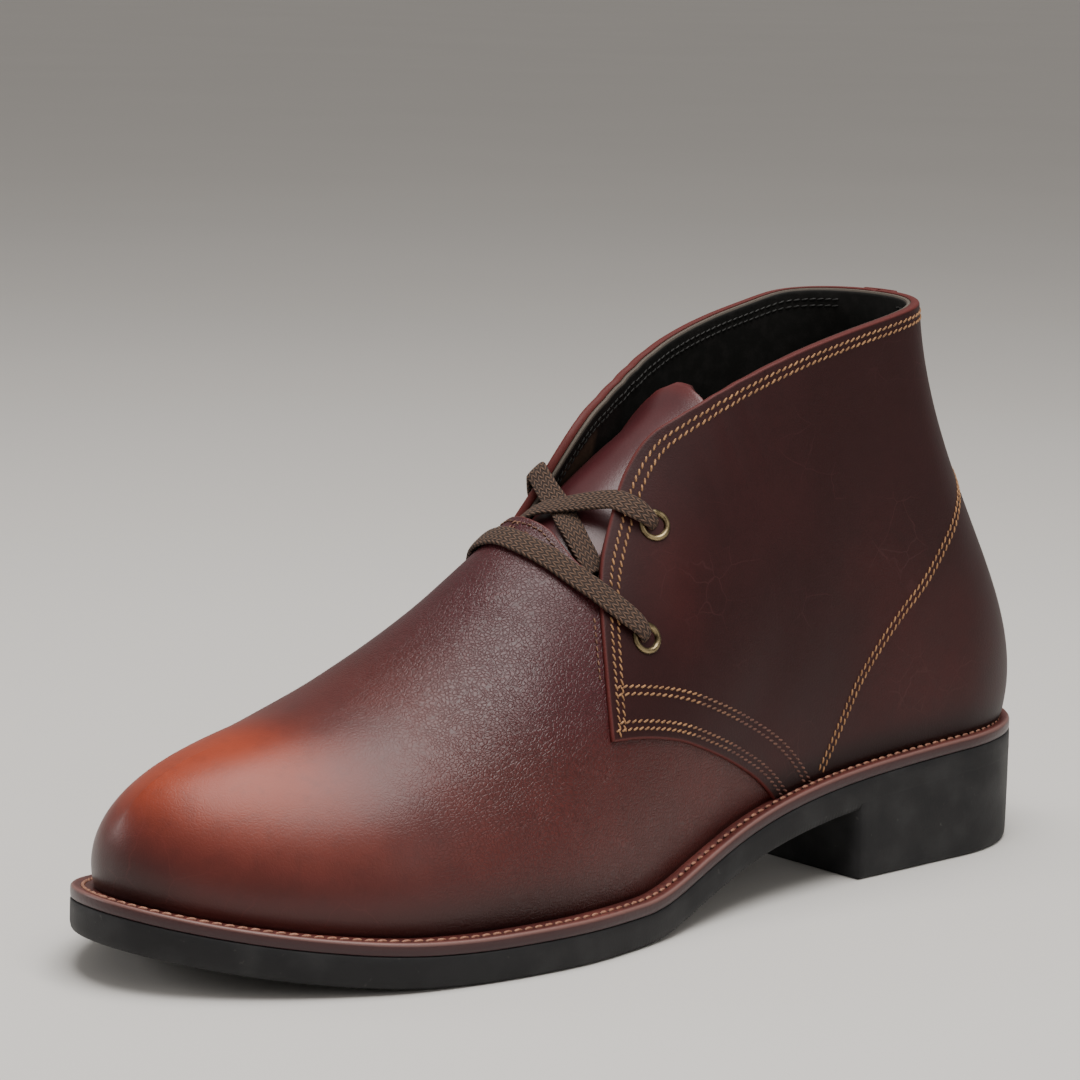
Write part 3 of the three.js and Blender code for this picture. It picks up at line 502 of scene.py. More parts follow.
# %% A helper for finishes
class Finish:
    def __init__(self, name):
        self.material = bpy.data.materials.new(name)
        self.material.use_nodes = True
        self.tree = self.material.node_tree
        self.tree.nodes.clear()
        self.skin = self.add("ShaderNodeBsdfPrincipled")
        output = self.add("ShaderNodeOutputMaterial")
        self.tree.links.new(self.skin.outputs[0], output.inputs[0])
        self.place = self.add("ShaderNodeTexCoord").outputs["Object"]

    def add(self, kind, inputs=(), **settings):
        node = self.tree.nodes.new(kind)
        for key, value in settings.items():
            setattr(node, key, value)
        for key, value in dict(inputs).items():
            self.put(node.inputs[key], value)
        return node

    def put(self, socket, value):
        if isinstance(value, bpy.types.NodeSocket):
            self.tree.links.new(value, socket)
        else:
            socket.default_value = (*value, 1) if socket.type == "RGBA" else value

    def noise(self, scale, detail=3, rough=0.5, output="Fac"):
        return self.add("ShaderNodeTexNoise", {"Vector": self.place, "Scale": scale, "Detail": detail,
                                               "Roughness": rough}).outputs[output]

    def cells(self, scale, feature, place=None):
        return self.add("ShaderNodeTexVoronoi", {"Vector": place or self.place, "Scale": scale},
                        feature=feature).outputs["Distance"]

    def band(self, value, start, end, low=0.0, high=1.0):
        return self.add("ShaderNodeMapRange", {0: value, 1: start, 2: end, 3: low, 4: high},
                        interpolation_type="SMOOTHSTEP").outputs[0]

    def math(self, operation, first, second=0.0):
        return self.add("ShaderNodeMath", {0: first, 1: second}, operation=operation).outputs[0]

    def mark(self, name):
        return self.add("ShaderNodeAttribute", attribute_name=name).outputs["Fac"]

    def blend(self, share, first, second):
        return self.add("ShaderNodeMix", {0: share, 6: first, 7: second}, data_type="RGBA").outputs[2]

    def relief(self, height, distance, strength, under=None):
        below = {} if under is None else {"Normal": under}
        return self.add("ShaderNodeBump", {"Height": height, "Distance": distance, "Strength": strength,
                                           **below}).outputs[0]

    def done(self, color, roughness, **others):
        for name, value in {"Base_Color": color, "Roughness": roughness, **others}.items():
            self.put(self.skin.inputs[name.replace("_", " ")], value)
        return self.material


print("finishes can be mixed")

# %% [markdown]
# ## Waxed pull-up leather
# Pull-up leather is dyed burgundy through and waxed: it goes lighter and redder wherever it
# is stretched over the toe, and darker at the toe tip and along the welt, where it is polished;
# along the welt that dark colour is also painted shade. The points carry marks at listed places:
# `glow` where the leather is stretched, `polish_and_shade` for the polished toe tip and for painted shade
# with polishing along the welt, `rose` for a cooler tint, `grain` for how far the grain shows,
# and `edge` for the way to the cut edge. Noise breaks up their borders, and two scales of cells make the pebble.

# %% Vamp, quarter and tongue leather
def tinted(color, red, green=None, blue=None):
    return tuple(v * tint for v, tint in zip(color, (red, green or red, blue or red)))


def leather(name, base, glow, dark, shine, grain, scratches, specular):
    f = Finish(name)
    cloud = f.noise(22, 4, 0.55)
    fine = f.noise(260, 3, 0.6)
    mottled = f.blend(f.band(cloud, 0.35, 0.68), base, tinted(base, 1.3))
    mottled = f.blend(f.mark("rose"), mottled, tinted(base, 0.85, 0.9, 1.45))
    unsettled = f.math("MULTIPLY", f.math("SUBTRACT", cloud, 0.5), 0.4)
    color = f.blend(f.band(f.math("ADD", f.mark("glow"), unsettled), 0.05, 1.0), mottled, glow)
    # darker where the leather is polished, and painted shade along the welt
    color = f.blend(f.band(f.math("ADD", f.mark("polish_and_shade"), unsettled), 0.1, 1.0), color, dark)
    color = f.blend(f.math("MULTIPLY", f.band(fine, 0.45, 0.75), 0.16), color, tinted(base, 0.5))
    wander = f.noise(75, 3, 0.5, "Color")
    bent = f.add("ShaderNodeVectorMath", {0: wander, 1: (0.007, 0.007, 0.007), 2: f.place},
                 operation="MULTIPLY_ADD").outputs[0]
    hair = f.cells(95, "DISTANCE_TO_EDGE", bent)
    where = f.math("MULTIPLY", f.band(f.noise(38, 2), 0.5, 0.68), f.band(hair, 0.0, 0.02, 1.0, 0.0))
    color = f.blend(f.math("MULTIPLY", where, scratches), color, tuple(min(3.2 * v + 0.02, 1) for v in base))
    folds = f.band(f.cells(1000, "DISTANCE_TO_EDGE", bent), 0.0, 0.2)
    sunk = f.math("MULTIPLY", f.math("SUBTRACT", 1.0, folds), f.math("MULTIPLY", f.mark("grain"), 0.45 * grain))
    color = f.blend(sunk, color, tinted(base, 0.35))
    edge = f.band(f.mark("edge"), 0.2, 0.8, 1.0, 0.0)
    color = f.blend(f.math("MULTIPLY", edge, 0.85), color, (0.115, 0.021, 0.018))
    strength = f.math("MULTIPLY", f.band(f.mark("grain"), 0.0, 1.0, 0.15, 1.0), grain)
    surface = f.relief(f.noise(150, 3), 0.0001, 0.3)
    pebbled = f.relief(f.math("MULTIPLY", f.cells(1500, "SMOOTH_F1"), strength), 0.0001, 0.6, surface)
    cracked = f.relief(f.math("MULTIPLY", folds, strength), 0.00011, 0.7, pebbled)
    rough = f.math("ADD", f.band(cloud, 0.3, 0.7, shine - 0.03, shine + 0.05), f.math("MULTIPLY", edge, 0.1))
    return f.done(color, rough, Normal=cracked, Specular_IOR_Level=specular, Coat_Weight=0.05, Coat_Roughness=0.4)


# colours where it is plain, where it is stretched, and where it is polished and painted with shade along the welt, then
# roughness and the rest
vamp_leather = leather("burnished_vamp_leather", (0.072, 0.0115, 0.0095), (0.31, 0.040, 0.011),
                       (0.014, 0.0045, 0.0045), 0.38, 1.0, 0.1, 0.42)
quarter_leather = leather("dark_quarter_leather", (0.026, 0.0055, 0.0058), (0.11, 0.016, 0.014),
                          (0.008, 0.003, 0.003), 0.48, 0.2, 0.25, 0.22)
tongue_leather = leather("tongue_leather", (0.060, 0.0115, 0.0125), (0.13, 0.018, 0.015),
                         (0.02, 0.006, 0.006), 0.36, 0.3, 0.05, 0.6)

# %% Lining, insole, welt, rubber, thread, lace and brass
def lining_finish():
    f = Finish("black_lining")
    color = f.blend(f.band(f.noise(300, 4), 0.4, 0.7), (0.005, 0.005, 0.004), (0.011, 0.010, 0.009))
    color = f.blend(f.band(f.mark("edge"), 0.1, 0.6, 1.0, 0.0), color, (0.11, 0.092, 0.075))
    color = f.blend(f.mark("suede"), color, f.blend(f.noise(600, 3), (0.030, 0.018, 0.011), (0.085, 0.052, 0.033)))
    return f.done(color, 0.72, Normal=f.relief(f.noise(1400, 3), 0.0001, 0.5), Specular_IOR_Level=0.3)


def welt_finish():
    f = Finish("welt_leather")
    color = f.blend(f.band(f.noise(60, 4), 0.35, 0.7), (0.085, 0.018, 0.015), (0.15, 0.038, 0.030))
    color = f.blend(f.band(f.noise(700, 3), 0.55, 0.75), color, (0.05, 0.012, 0.012))
    color = f.blend(f.mark("side"), color, (0.030, 0.0050, 0.0070))
    color = f.blend(f.mark("burnish"), color, (0.21, 0.105, 0.090))
    shine = f.band(f.mark("side"), 0, 1, 0.5, 0.36)
    return f.done(color, shine, Normal=f.relief(f.noise(900, 3), 0.00012, 0.5))


def rubber_finish():
    f = Finish("matt_black_rubber")
    color = f.blend(f.band(f.noise(90, 5), 0.4, 0.75), (0.0085, 0.0085, 0.0095), (0.020, 0.020, 0.021))
    scuffed = f.blend(f.band(f.noise(450, 3), 0.68, 0.8), color, (0.045, 0.042, 0.040))
    return f.done(scuffed, f.band(f.noise(40, 3), 0.3, 0.7, 0.55, 0.7), Specular_IOR_Level=0.35,
                  Normal=f.relief(f.noise(1600, 4), 0.00008, 0.6))


def thread_finish(name, light, dark):
    f = Finish(name)
    color = f.blend(f.band(f.noise(900, 2), 0.3, 0.7), dark, light)
    # each stitch is painted dark at its ends, as painted shade where the thread dips into its hole
    color = f.blend(f.band(f.mark("end"), 0.55, 1.0), color, (0.012, 0.006, 0.005))
    return f.done(color, 0.62, Normal=f.relief(f.noise(5000, 2), 0.00005, 0.5))


RIB_WIDTH, STRAND_PITCH = 0.8, 1.7


def braid_finish():
    f = Finish("brown_braided_lace")
    rib = f.math("PINGPONG", f.mark("across"), RIB_WIDTH)
    leaning = f.math("SUBTRACT", f.mark("along"), f.math("MULTIPLY", rib, STRAND_PITCH))
    strand = f.math("SINE", f.math("MULTIPLY", leaning, 2 * math.pi / STRAND_PITCH))
    ribbed = f.math("SINE", f.math("MULTIPLY", rib, math.pi / RIB_WIDTH))
    weave = f.math("MULTIPLY", f.math("ADD", strand, 1.2), f.math("ADD", ribbed, 0.35))
    # the weave is painted light on its crests and dark in its grooves, as painted highlight and shade
    lit = f.blend(f.band(weave, 0.1, 2.4), (0.015, 0.008, 0.0055), (0.145, 0.082, 0.053))
    color = f.blend(f.math("MULTIPLY", f.band(f.noise(700, 3), 0.35, 0.7), 0.3), lit, (0.062, 0.035, 0.023))
    return f.done(color, 0.85, Normal=f.relief(weave, 0.00016, 0.8, f.relief(f.noise(4200, 3), 0.0001, 0.5)))


def brass_finish():
    f = Finish("antiqued_brass")
    color = f.blend(f.band(f.noise(500, 4), 0.4, 0.7), (0.30, 0.235, 0.13), (0.13, 0.10, 0.055))
    return f.done(color, f.band(f.noise(800, 3), 0.3, 0.7, 0.26, 0.42), Metallic=1.0)


lining, welt_stain, rubber = lining_finish(), welt_finish(), rubber_finish()
gold_thread = thread_finish("tan_thread", (0.42, 0.215, 0.092), (0.22, 0.105, 0.044))
brown_thread = thread_finish("brown_thread", (0.22, 0.105, 0.055), (0.11, 0.048, 0.028))
dark_thread = thread_finish("dark_thread", (0.16, 0.070, 0.048), (0.08, 0.030, 0.022))
black_thread = thread_finish("black_thread", (0.018, 0.018, 0.016), (0.009, 0.009, 0.008))
braid, brass = braid_finish(), brass_finish()
print(len(bpy.data.materials), "materials")

# %% [markdown]
# ## Patterns
# Side view lines mark where each piece of leather ends: the top line along the collar and
# down the facing, the quarter's lower edge, and the top edge of the vamp's tab. Closed up
# with far points, they become the patterns that the knife follows.

# %% Lines and patterns of the upper
TOP_LINE = side_line([(0.04, 1.011), (0.125, 1.008), (0.18, 0.999), (0.233, 0.979), (0.287, 0.956), (0.338, 0.928),
                      (0.39, 0.889), (0.444, 0.838), (0.474, 0.803), (0.5, 0.748), (0.523, 0.68), (0.548, 0.6),
                      (0.565, 0.52), (0.579, 0.43), (0.59, 0.338)], COLLAR_HEIGHT)
QUARTER_EDGE = side_line([(0.59, 0.338), (0.55, 0.333), (0.508, 0.317), (0.469, 0.288), (0.432, 0.254),
                          (0.398, 0.215), (0.371, 0.17), (0.342, 0.1)], COLLAR_HEIGHT)
TAB_EDGE = side_line([(0.605, 0.721), (0.584, 0.689), (0.573, 0.672), (0.568, 0.656), (0.567, 0.639), (0.565, 0.619),
                      (0.561, 0.603), (0.558, 0.587), (0.554, 0.563), (0.551, 0.539)], COLLAR_HEIGHT)
FAR = 600
top_points = TOP_LINE(np.linspace(0, 1, 90))
quarter_points = QUARTER_EDGE(np.linspace(0, 1, 40))
tab_points = TAB_EDGE(np.linspace(0, 1, 40))
QUARTER = np.concatenate([[[FAR, top_points[0, 1]]], top_points, quarter_points[1:],
                          [[quarter_points[-1, 0], -FAR], [FAR, -FAR]]])
VAMP = np.concatenate([[[-FAR, tab_points[0, 1]]], tab_points,
                       [[14, 64], [38, 46], [60, 24], [66, -FAR], [-FAR, -FAR]]])
# the lining backs whatever lies under the top line or in the tab
BELOW_TOP = np.concatenate([[[FAR, top_points[0, 1]]], top_points,
                            [[-FAR, top_points[-1, 1]], [-FAR, -FAR], [FAR, -FAR]]])
TAB = np.concatenate([[[-FAR, tab_points[0, 1]]], tab_points, [[tab_points[-1, 0], -FAR], [-FAR, -FAR]]])
print("patterns of", len(QUARTER), len(VAMP), len(BELOW_TOP), "points")

# %% [markdown]
# ## Soft creases
# A boot that has been tried on is never perfectly fair. A handful of troughs and ridges,
# placed on the side view, are added to every layer alike, so that no leather passes
# through another.

# %% Troughs and ridges
# side (0 both), x, z, length, width in mm, angle in degrees, height in mm
CREASES = [(0, -62, 52, 22, 7, 150, -0.30), (-1, -45, 50, 20, 8, 140, 0.30), (0, -30, 66, 18, 6, 125, -0.25),
           (-1, 34, 60, 26, 9, 60, -0.45), (-1, 58, 96, 30, 11, 80, 0.50), (1, 30, 70, 26, 9, 65, -0.5),
           (1, 62, 98, 30, 12, 85, 0.5), (0, 108, 70, 20, 12, 70, -0.35), (-1, 4, 88, 16, 7, 75, 0.3)]


def crease_height(knots):
    total = np.zeros(len(knots))
    for side, x, z, length, width, angle, height in CREASES:
        c, s = math.cos(math.radians(angle)), math.sin(math.radians(angle))
        dx, dz = knots[:, 0] - x, knots[:, 2] - z
        along, across = dx * c + dz * s, dz * c - dx * s
        mark = height * np.exp(-(along / length) ** 2 - (across / width) ** 2)
        total += mark * ((knots[:, 6] == side) if side else 1)
    return total


def lifted(knots, height):
    """Places at a height over the last, with the row at the welt kept on it."""
    height = np.broadcast_to(height, len(knots)) + crease_height(knots) * smoothstep(knots[:, 8], 0, 0.25)
    points = knots[:, :3] + knots[:, 3:6] * height[:, None]
    low = smoothstep(knots[:, 8], 0.012, 0.0)[:, None]
    level = points.copy()
    level[:, 2] = knots[:, 2] - 0.9 * CLEARANCE
    return points * (1 - low) + level * low


def leather_marks(knots, distance):
    """Marks for both faces of a panel; the quarters and the stay then set some anew."""
    x, y, z = knots[:, 0], knots[:, 1], knots[:, 2]
    above_welt = z - welt_top(x)
    toe_top = 1.05 * np.exp(-((x + 126) / 29) ** 2 - ((z - 54) / 14) ** 2)
    flank = 0.25 * np.exp(-((x + 105) / 38) ** 2 - ((z - 33) / 10) ** 2)
    # darker along the welt: painted shade, deepest near x = -62 mm, together with polishing
    low = (0.42 + 0.4 * np.exp(-((x + 62) / 36) ** 2)) * (1 - smoothstep(above_welt, 0, 21))
    tip = 0.35 * smoothstep(-x, 134, 148) * (1 - smoothstep(z, 30, 46))
    marks = {"glow": np.clip(toe_top + flank, 0, 1), "polish_and_shade": np.clip(low + tip, 0, 1),
             "rose": smoothstep(x, -80, -40) * smoothstep(z, 45, 65), "grain": smoothstep(x, -110, -45),
             "edge": np.clip(distance, 0, 20)}
    return {mark: np.tile(values, 2) for mark, values in marks.items()}


print("deepest crease", round(float(crease_height(skin).min()), 2), "mm")

# %% [markdown]
# ## Vamp, quarters, stay and lining
# The vamp lies on the last itself. The quarters lie over it, so they stand an overlay's
# thickness higher, and their inner face steps down behind the vamp to meet the lining. At the
# back the two quarters meet in a seam, under the heel stay.

# %% Cut the vamp
LEATHER = 1.3


def vamp_measure(knots):
    return pattern_distance(VAMP, knots[:, 0], knots[:, 2])


def quarter_measure(knots):
    seam = np.where(knots[:, 0] > 80, np.abs(knots[:, 1]) - 0.12, 99)
    return np.minimum(pattern_distance(QUARTER, knots[:, 0], knots[:, 2]), seam)


def stay_measure(knots):
    """A strip up the back: wide at the collar, stepping in at a notch, then tapering down."""
    half = np.where(knots[:, 2] > COLLAR_HEIGHT - 40, 6.2, 3.6 * smoothstep(knots[:, 2], 70, 100))
    strip = np.where(knots[:, 0] > 80, half - np.abs(knots[:, 1]), -9)
    return np.minimum(strip, pattern_distance(QUARTER, knots[:, 0], knots[:, 2]))


knots, faces = cut_panel(vamp_measure, 0.5)
measured = vamp_measure(knots)
points, shell_faces = shell(lifted(knots, rounded_lift(measured, 0, 0.5)), lifted(knots, -LEATHER + 0.1), faces)
mesh_piece("vamp", points, shell_faces, vamp_leather, "upper", leather_marks(knots, measured))

# %% Cut the quarters
# x, z, width and height in mm, amount of glow
STRETCHED = [(102, 58, 34, 28, 0.32), (4, 88, 13, 27, 0.3), (60, 100, 50, 36, 0.08), (40, 40, 30, 14, 0.15),
             (60, 148, 40, 7, 0.12)]
for side, word in ((-1, "lateral"), (1, "medial")):
    knots, faces = cut_panel(quarter_measure, 0.7, (side,))
    measured = quarter_measure(knots)
    over_vamp = smoothstep(vamp_measure(knots), -4, -0.5)
    inner = -1.22 + over_vamp * 1.27
    points, shell_faces = shell(lifted(knots, rounded_lift(measured, OVERLAY, 0.7)), lifted(knots, inner), faces)
    marks = leather_marks(knots, measured)
    marks["glow"] = sum(amount * np.exp(-((points[:, 0] - x) / wide) ** 2 - ((points[:, 2] - z) / high) ** 2)
                        for x, z, wide, high, amount in STRETCHED)
    # darker along the welt: painted shade together with polishing
    marks["polish_and_shade"] = 0.7 * (1 - smoothstep(points[:, 2] - welt_top(points[:, 0]), 2, 14))
    marks["rose"] = np.zeros(len(points))
    mesh_piece(f"quarter_{word}", points, shell_faces, quarter_leather, "upper", marks)

# %% Cut the heel stay and the lining
knots, faces = cut_panel(stay_measure, 0.5)
measured = stay_measure(knots)
points, shell_faces = shell(lifted(knots, OVERLAY + rounded_lift(measured, 0.95, 0.5)),
                            lifted(knots, OVERLAY - 0.4), faces)
marks = leather_marks(knots, measured)
marks["glow"], marks["polish_and_shade"], marks["rose"] = (np.full(len(points), share) for share in (0.1, 0.1, 0.0))
mesh_piece("heel_stay", points, shell_faces, quarter_leather, "upper", marks)


def lining_measure(knots):
    return np.maximum(pattern_distance(BELOW_TOP, knots[:, 0], knots[:, 2]),
                      pattern_distance(TAB, knots[:, 0], knots[:, 2])) - 0.25


knots, faces = cut_panel(lining_measure, 0.5)
measured = lining_measure(knots)
inner = -WALL + 0.4 * smoothstep(0.8 - measured, 0, 0.8)
points, shell_faces = shell(lifted(knots, -LEATHER + 0.02), lifted(knots, inner), faces)
# a patch of brown suede shows beside the tongue on the inner side
suede_patch = (smoothstep(8 - np.abs(knots[:, 0] - 9), 0, 2) * (knots[:, 6] > 0)
               * smoothstep(4.5 - np.abs(knots[:, 2] - 108.5 - 0.72 * knots[:, 0]), 0, 1.5))
mesh_piece("lining", points, shell_faces, lining, "upper",
           {"edge": np.tile(measured, 2), "suede": np.tile(suede_patch, 2)})

# %% [markdown]
# ## Finding a place on the leather
# Eyelets, stitches and lace are placed by where they show on the side view. `on_skin` looks
# up the nearest knot on one side of the last and slides along the surface to the exact place.

# %% Places on the skin
columns = len(sides)
grid_points = skin[:, :3].reshape(columns, RISES, 3)
grid_outward = skin[:, 3:6].reshape(columns, RISES, 3)
along_columns = np.gradient(grid_points, axis=0)
along_rows = np.gradient(grid_points, axis=1)


def on_skin(side, x, z):
    x, z = np.atleast_1d(x).astype(float), np.atleast_1d(z).astype(float)
    chosen = np.flatnonzero(sides == side)
    near = grid_points[chosen].reshape(-1, 3)
    found_points, found_outward = [], []
    for px, pz in zip(x, z):
        k = int(np.argmin((near[:, 0] - px) ** 2 + (near[:, 2] - pz) ** 2))
        i, j = chosen[k // RISES], k % RISES
        du, dv, p = along_columns[i, j], along_rows[i, j], grid_points[i, j]
        slopes = np.array([[du[0], dv[0]], [du[2], dv[2]]])
        step = np.clip(np.linalg.lstsq(slopes, np.array([px - p[0], pz - p[2]]), rcond=None)[0], -1, 1)
        found_points.append(p + du * step[0] + dv * step[1])
        found_outward.append(grid_outward[i, j])
    return np.array(found_points), np.array(found_outward)


def crease_at(side, points):
    return crease_height(np.column_stack([points, np.zeros((len(points), 3)), np.full(len(points), side)]))


probe, probe_out = on_skin(-1, 60.0, 100.0)
print("outer ankle at", probe.round(1), "facing", probe_out.round(2))

# %% [markdown]
# ## The tongue
# The tongue is a curved blade of leather from under the vamp's tab up between the facings.
# It is laid out row by row up the instep, with its sides tucked inside the quarters, and its
# free end rounded.

# %% Tongue
TONGUE_THICKNESS, TONGUE_WIDTH = 2.2, 38
TONGUE_DROP = 0.27 * TONGUE_WIDTH
ROOM_FOR_LINING = 3.6
# along and height of the middle of the tongue, as shares of the sole's length and the instep
TONGUE = [(0.665, 0.742), (0.63, 0.805), (0.59, 0.872), (0.545, 0.962), (0.5, 1.068), (0.457, 1.153),
          (0.418, 1.222), (0.4, 1.272), (0.391, 1.3)]
tongue_run = run_along(np.array(TONGUE) * (SOLE_LENGTH, INSTEP_HEIGHT))
tongue_x, tongue_z = (smooth_table(tongue_run, column) for column in zip(*TONGUE))


def fall(y):
    """How far the tongue's top has dropped at a distance from its middle."""
    return TONGUE_DROP * (2 * y / TONGUE_WIDTH) ** 2


def room_inside(side, run):
    """Half width that fits inside one quarter, faired along the tongue."""
    tried = np.linspace(0, tongue_run[-1], 40)
    knots = grid_points[sides == side].reshape(-1, 3)
    half = np.full(len(tried), TONGUE_WIDTH / 2)
    for _ in range(4):
        x, z = HEEL_X - tongue_x(tried) * SOLE_LENGTH, tongue_z(tried) * INSTEP_HEIGHT - fall(half)
        near = np.argmin((knots[None, :, 0] - x[:, None]) ** 2 + (knots[None, :, 2] - z[:, None]) ** 2, axis=1)
        half = (half + np.minimum(np.abs(knots[near, 1]) - ROOM_FOR_LINING, TONGUE_WIDTH / 2)) / 2
    return np.polyval(np.polyfit(tried, half, 4), run)


def tongue_point(run, across):
    """A place on the tongue's top: run in mm from its lower end, across from -1 to 1."""
    run, across = np.broadcast_arrays(np.asarray(run, float), np.asarray(across, float))
    end = np.clip((tongue_run[-1] - run) / 11, 0, 1)
    width = np.interp(run, tongue_run[[0, 5]], [0.42, 0.5]) * TONGUE_WIDTH
    cut = np.sqrt(np.clip(1 - (1 - end) ** 2.6, 0, 1)) * width
    half = np.minimum(cut, np.where(across < 0, room_inside(-1, run), room_inside(1, run)))
    y = across * half
    return np.stack([HEEL_X - tongue_x(run) * SOLE_LENGTH, y, tongue_z(run) * INSTEP_HEIGHT - fall(y)], -1)


runs = np.linspace(0, tongue_run[-1] - 0.05, 90)
acrosses = np.linspace(-1, 1, 45)
top_face = tongue_point(runs[:, None], acrosses[None])
along_step, across_step = np.gradient(top_face, axis=0), np.gradient(top_face, axis=1)
facing_out = unit(np.cross(across_step, along_step))
facing_out *= np.sign(facing_out[..., 2:3] - facing_out[..., 0:1])
round_off = 1 - np.sqrt(1 - np.clip((np.abs(acrosses) - 0.94) / 0.06, 0, 1) ** 2)
flat_top = (top_face - facing_out * (0.7 * round_off)[None, :, None]).reshape(-1, 3)
flat_out = facing_out.reshape(-1, 3)
tongue_faces = net_faces(len(runs), len(acrosses))
corner = flat_top[tongue_faces]
if (np.cross(corner[:, 1] - corner[:, 0], corner[:, 2] - corner[:, 0]) * flat_out[tongue_faces[:, 0]]).sum() < 0:
    tongue_faces = tongue_faces[:, ::-1]
points, shell_faces = shell(flat_top, (top_face - facing_out * TONGUE_THICKNESS).reshape(-1, 3), tongue_faces)
# from the sides, at about the mean half width, and from the free end
near_edge = np.minimum((1 - np.abs(acrosses))[None] * 17, (runs[-1] - runs)[:, None]).ravel()
red = 0.5 * (1 - smoothstep(near_edge, 1, 7))
mesh_piece("tongue", points, shell_faces, tongue_leather, "tongue",
           {"glow": np.tile(red, 2), "polish_and_shade": np.zeros(len(points)), "rose": np.full(len(points), 0.25),
            "grain": np.full(len(points), 0.4), "edge": np.tile(near_edge + 1, 2)})

# %% [markdown]
# ## Insole, welt, outsole and heel
# Everything under the foot is a plate with the sole's own outline. A plate is a stack of
# rings: each ring is the outline drawn in by an inset, at a share of the plate's thickness,
# so a rounded or bevelled edge is a matter of a few more rings.

# %% Plates
EDGE_STATIONS = 150


def ring_places(count):
    at = np.linspace(0, 1, count)
    side = np.concatenate([np.full(count, -1), np.full(count, 1)])
    return side, np.concatenate([at, at[::-1]])


def ring(side, at, inset, height):
    points = np.where((side < 0)[:, None], inset_edge(-1, at, inset), inset_edge(1, at, inset))
    points[:, 2] = height(points[:, 0])
    return points


def stacked(rings):
    """Closes rings that follow each other upwards, with caps from side to side."""
    count = len(rings[0])
    faces = ring_walls(len(rings), count)
    for first, upwards in ((0, False), ((len(rings) - 1) * count, True)):
        for i in range(count // 2 - 1):
            quad = (first + i, first + i + 1, first + count - 2 - i, first + count - 1 - i)
            faces.append(quad[::-1] if upwards else quad)
    return np.concatenate(rings), faces


side, at = ring_places(EDGE_STATIONS)
insole_inset = WELT_EXTENSION * extension_at(at) + WALL + 2 * CLEARANCE


def insole_height(x):
    return welt_top(x) + CLEARANCE


rings = [ring(side, at, insole_inset + inset, lambda x, share=share: insole_height(x) + share * INSOLE_THICKNESS)
         for inset, share in ((0.5, 0), (0, 0.2), (0, 0.7), (0.35, 0.93), (1.0, 1.0), (8, 1.05), (16, 1.0))]
points, plate_faces = stacked(rings)
mesh_piece("insole", points, plate_faces, lining, "insole", {"edge": np.full(len(points), 9.0)})

# %% Welt
# inset, share of the thickness, side mark, burnish mark
WELT_RINGS = [(0.5, 0.0, 1, 0), (0.2, 0.06, 1, 0), (0.12, 0.4, 1, 0), (0.15, 0.72, 1, 0.1), (0.3, 0.86, 0.6, 0.7),
              (0.6, 0.96, 0.1, 0.9), (1.0, 1.0, 0, 0.25), (1.5, 1.0, 0, 0), (2.6, 0.97, 0, 0), (3.0, 0.9, 0, 0),
              (3.5, 0.9, 0, 0), (3.9, 0.97, 0, 0), (5.0, 1.0, 0, 0), (10, 1.0, 0, 0)]


def welt_height(x, share):
    return outsole_top(x) + CLEARANCE * 0.2 + share * (WELT_THICKNESS + CLEARANCE * 0.8)


rings = [ring(side, at, inset, lambda x, share=share: welt_height(x, share)) for inset, share, _, _ in WELT_RINGS]
points, plate_faces = stacked(rings)
marks = {"side": np.repeat([row[2] for row in WELT_RINGS], len(at)),
         "burnish": np.repeat([row[3] for row in WELT_RINGS], len(at))}
mesh_piece("welt", points, plate_faces, welt_stain, "welt", marks)

# %% Outsole with its serrated edge
SERRATION, SERRATED = 1.3, 0.28
fine_side, fine_at = ring_places(900)
edge_points = ring(fine_side, fine_at, 0, sole_bottom)
edge_run = run_along(edge_points)
teeth = np.abs((edge_run / SERRATION) % 1 - 0.5) * 2
under_waist = smoothstep(edge_points[:, 0], -40, -20) * (1 - smoothstep(edge_points[:, 0], BREAST_X - 2, BREAST_X + 1))
bite = SERRATED * teeth * under_waist
# inset, share of the thickness, share of the teeth
OUTSOLE_RINGS = [(9, 0.0, 0), (2.2, 0.0, 1), (1.2, 0.012, 1), (0.6, 0.05, 1), (0.25, 0.12, 1), (0.06, 0.22, 0.4),
                 (0, 0.32, 0), (0.04, 0.7, 0), (0.1, 0.93, 0), (0.45, 1.0, 0), (4, 1.0, 0)]
rings = [ring(fine_side, fine_at, inset + toothed * bite,
              lambda x, share=share, toothed=toothed: sole_bottom(x) + share * OUTSOLE_THICKNESS)
         for inset, share, toothed in OUTSOLE_RINGS]
points, plate_faces = stacked(rings)
mesh_piece("outsole", points, plate_faces, rubber, "outsole")

# %% Heel block
breast_at = float(np.arccos(1 - 2 * (HEEL_X - BREAST_X) / SOLE_LENGTH) / np.pi)
heel_stations = np.linspace(0, breast_at, 60)
breast_shares = np.linspace(0, 1, 14)[1:-1]


def heel_ring(inset, height, front_inset):
    lateral = inset_edge(-1, heel_stations, inset)
    medial = inset_edge(1, heel_stations[1:], inset)[::-1]
    for half in (lateral, medial):
        half[:, 0] = np.maximum(half[:, 0], BREAST_X + front_inset)
    across = lateral[-1] + (medial[0] - lateral[-1]) * breast_shares[:, None]
    loop = np.concatenate([lateral, across, medial])
    loop[:, 2] = height(loop[:, 0])
    return loop


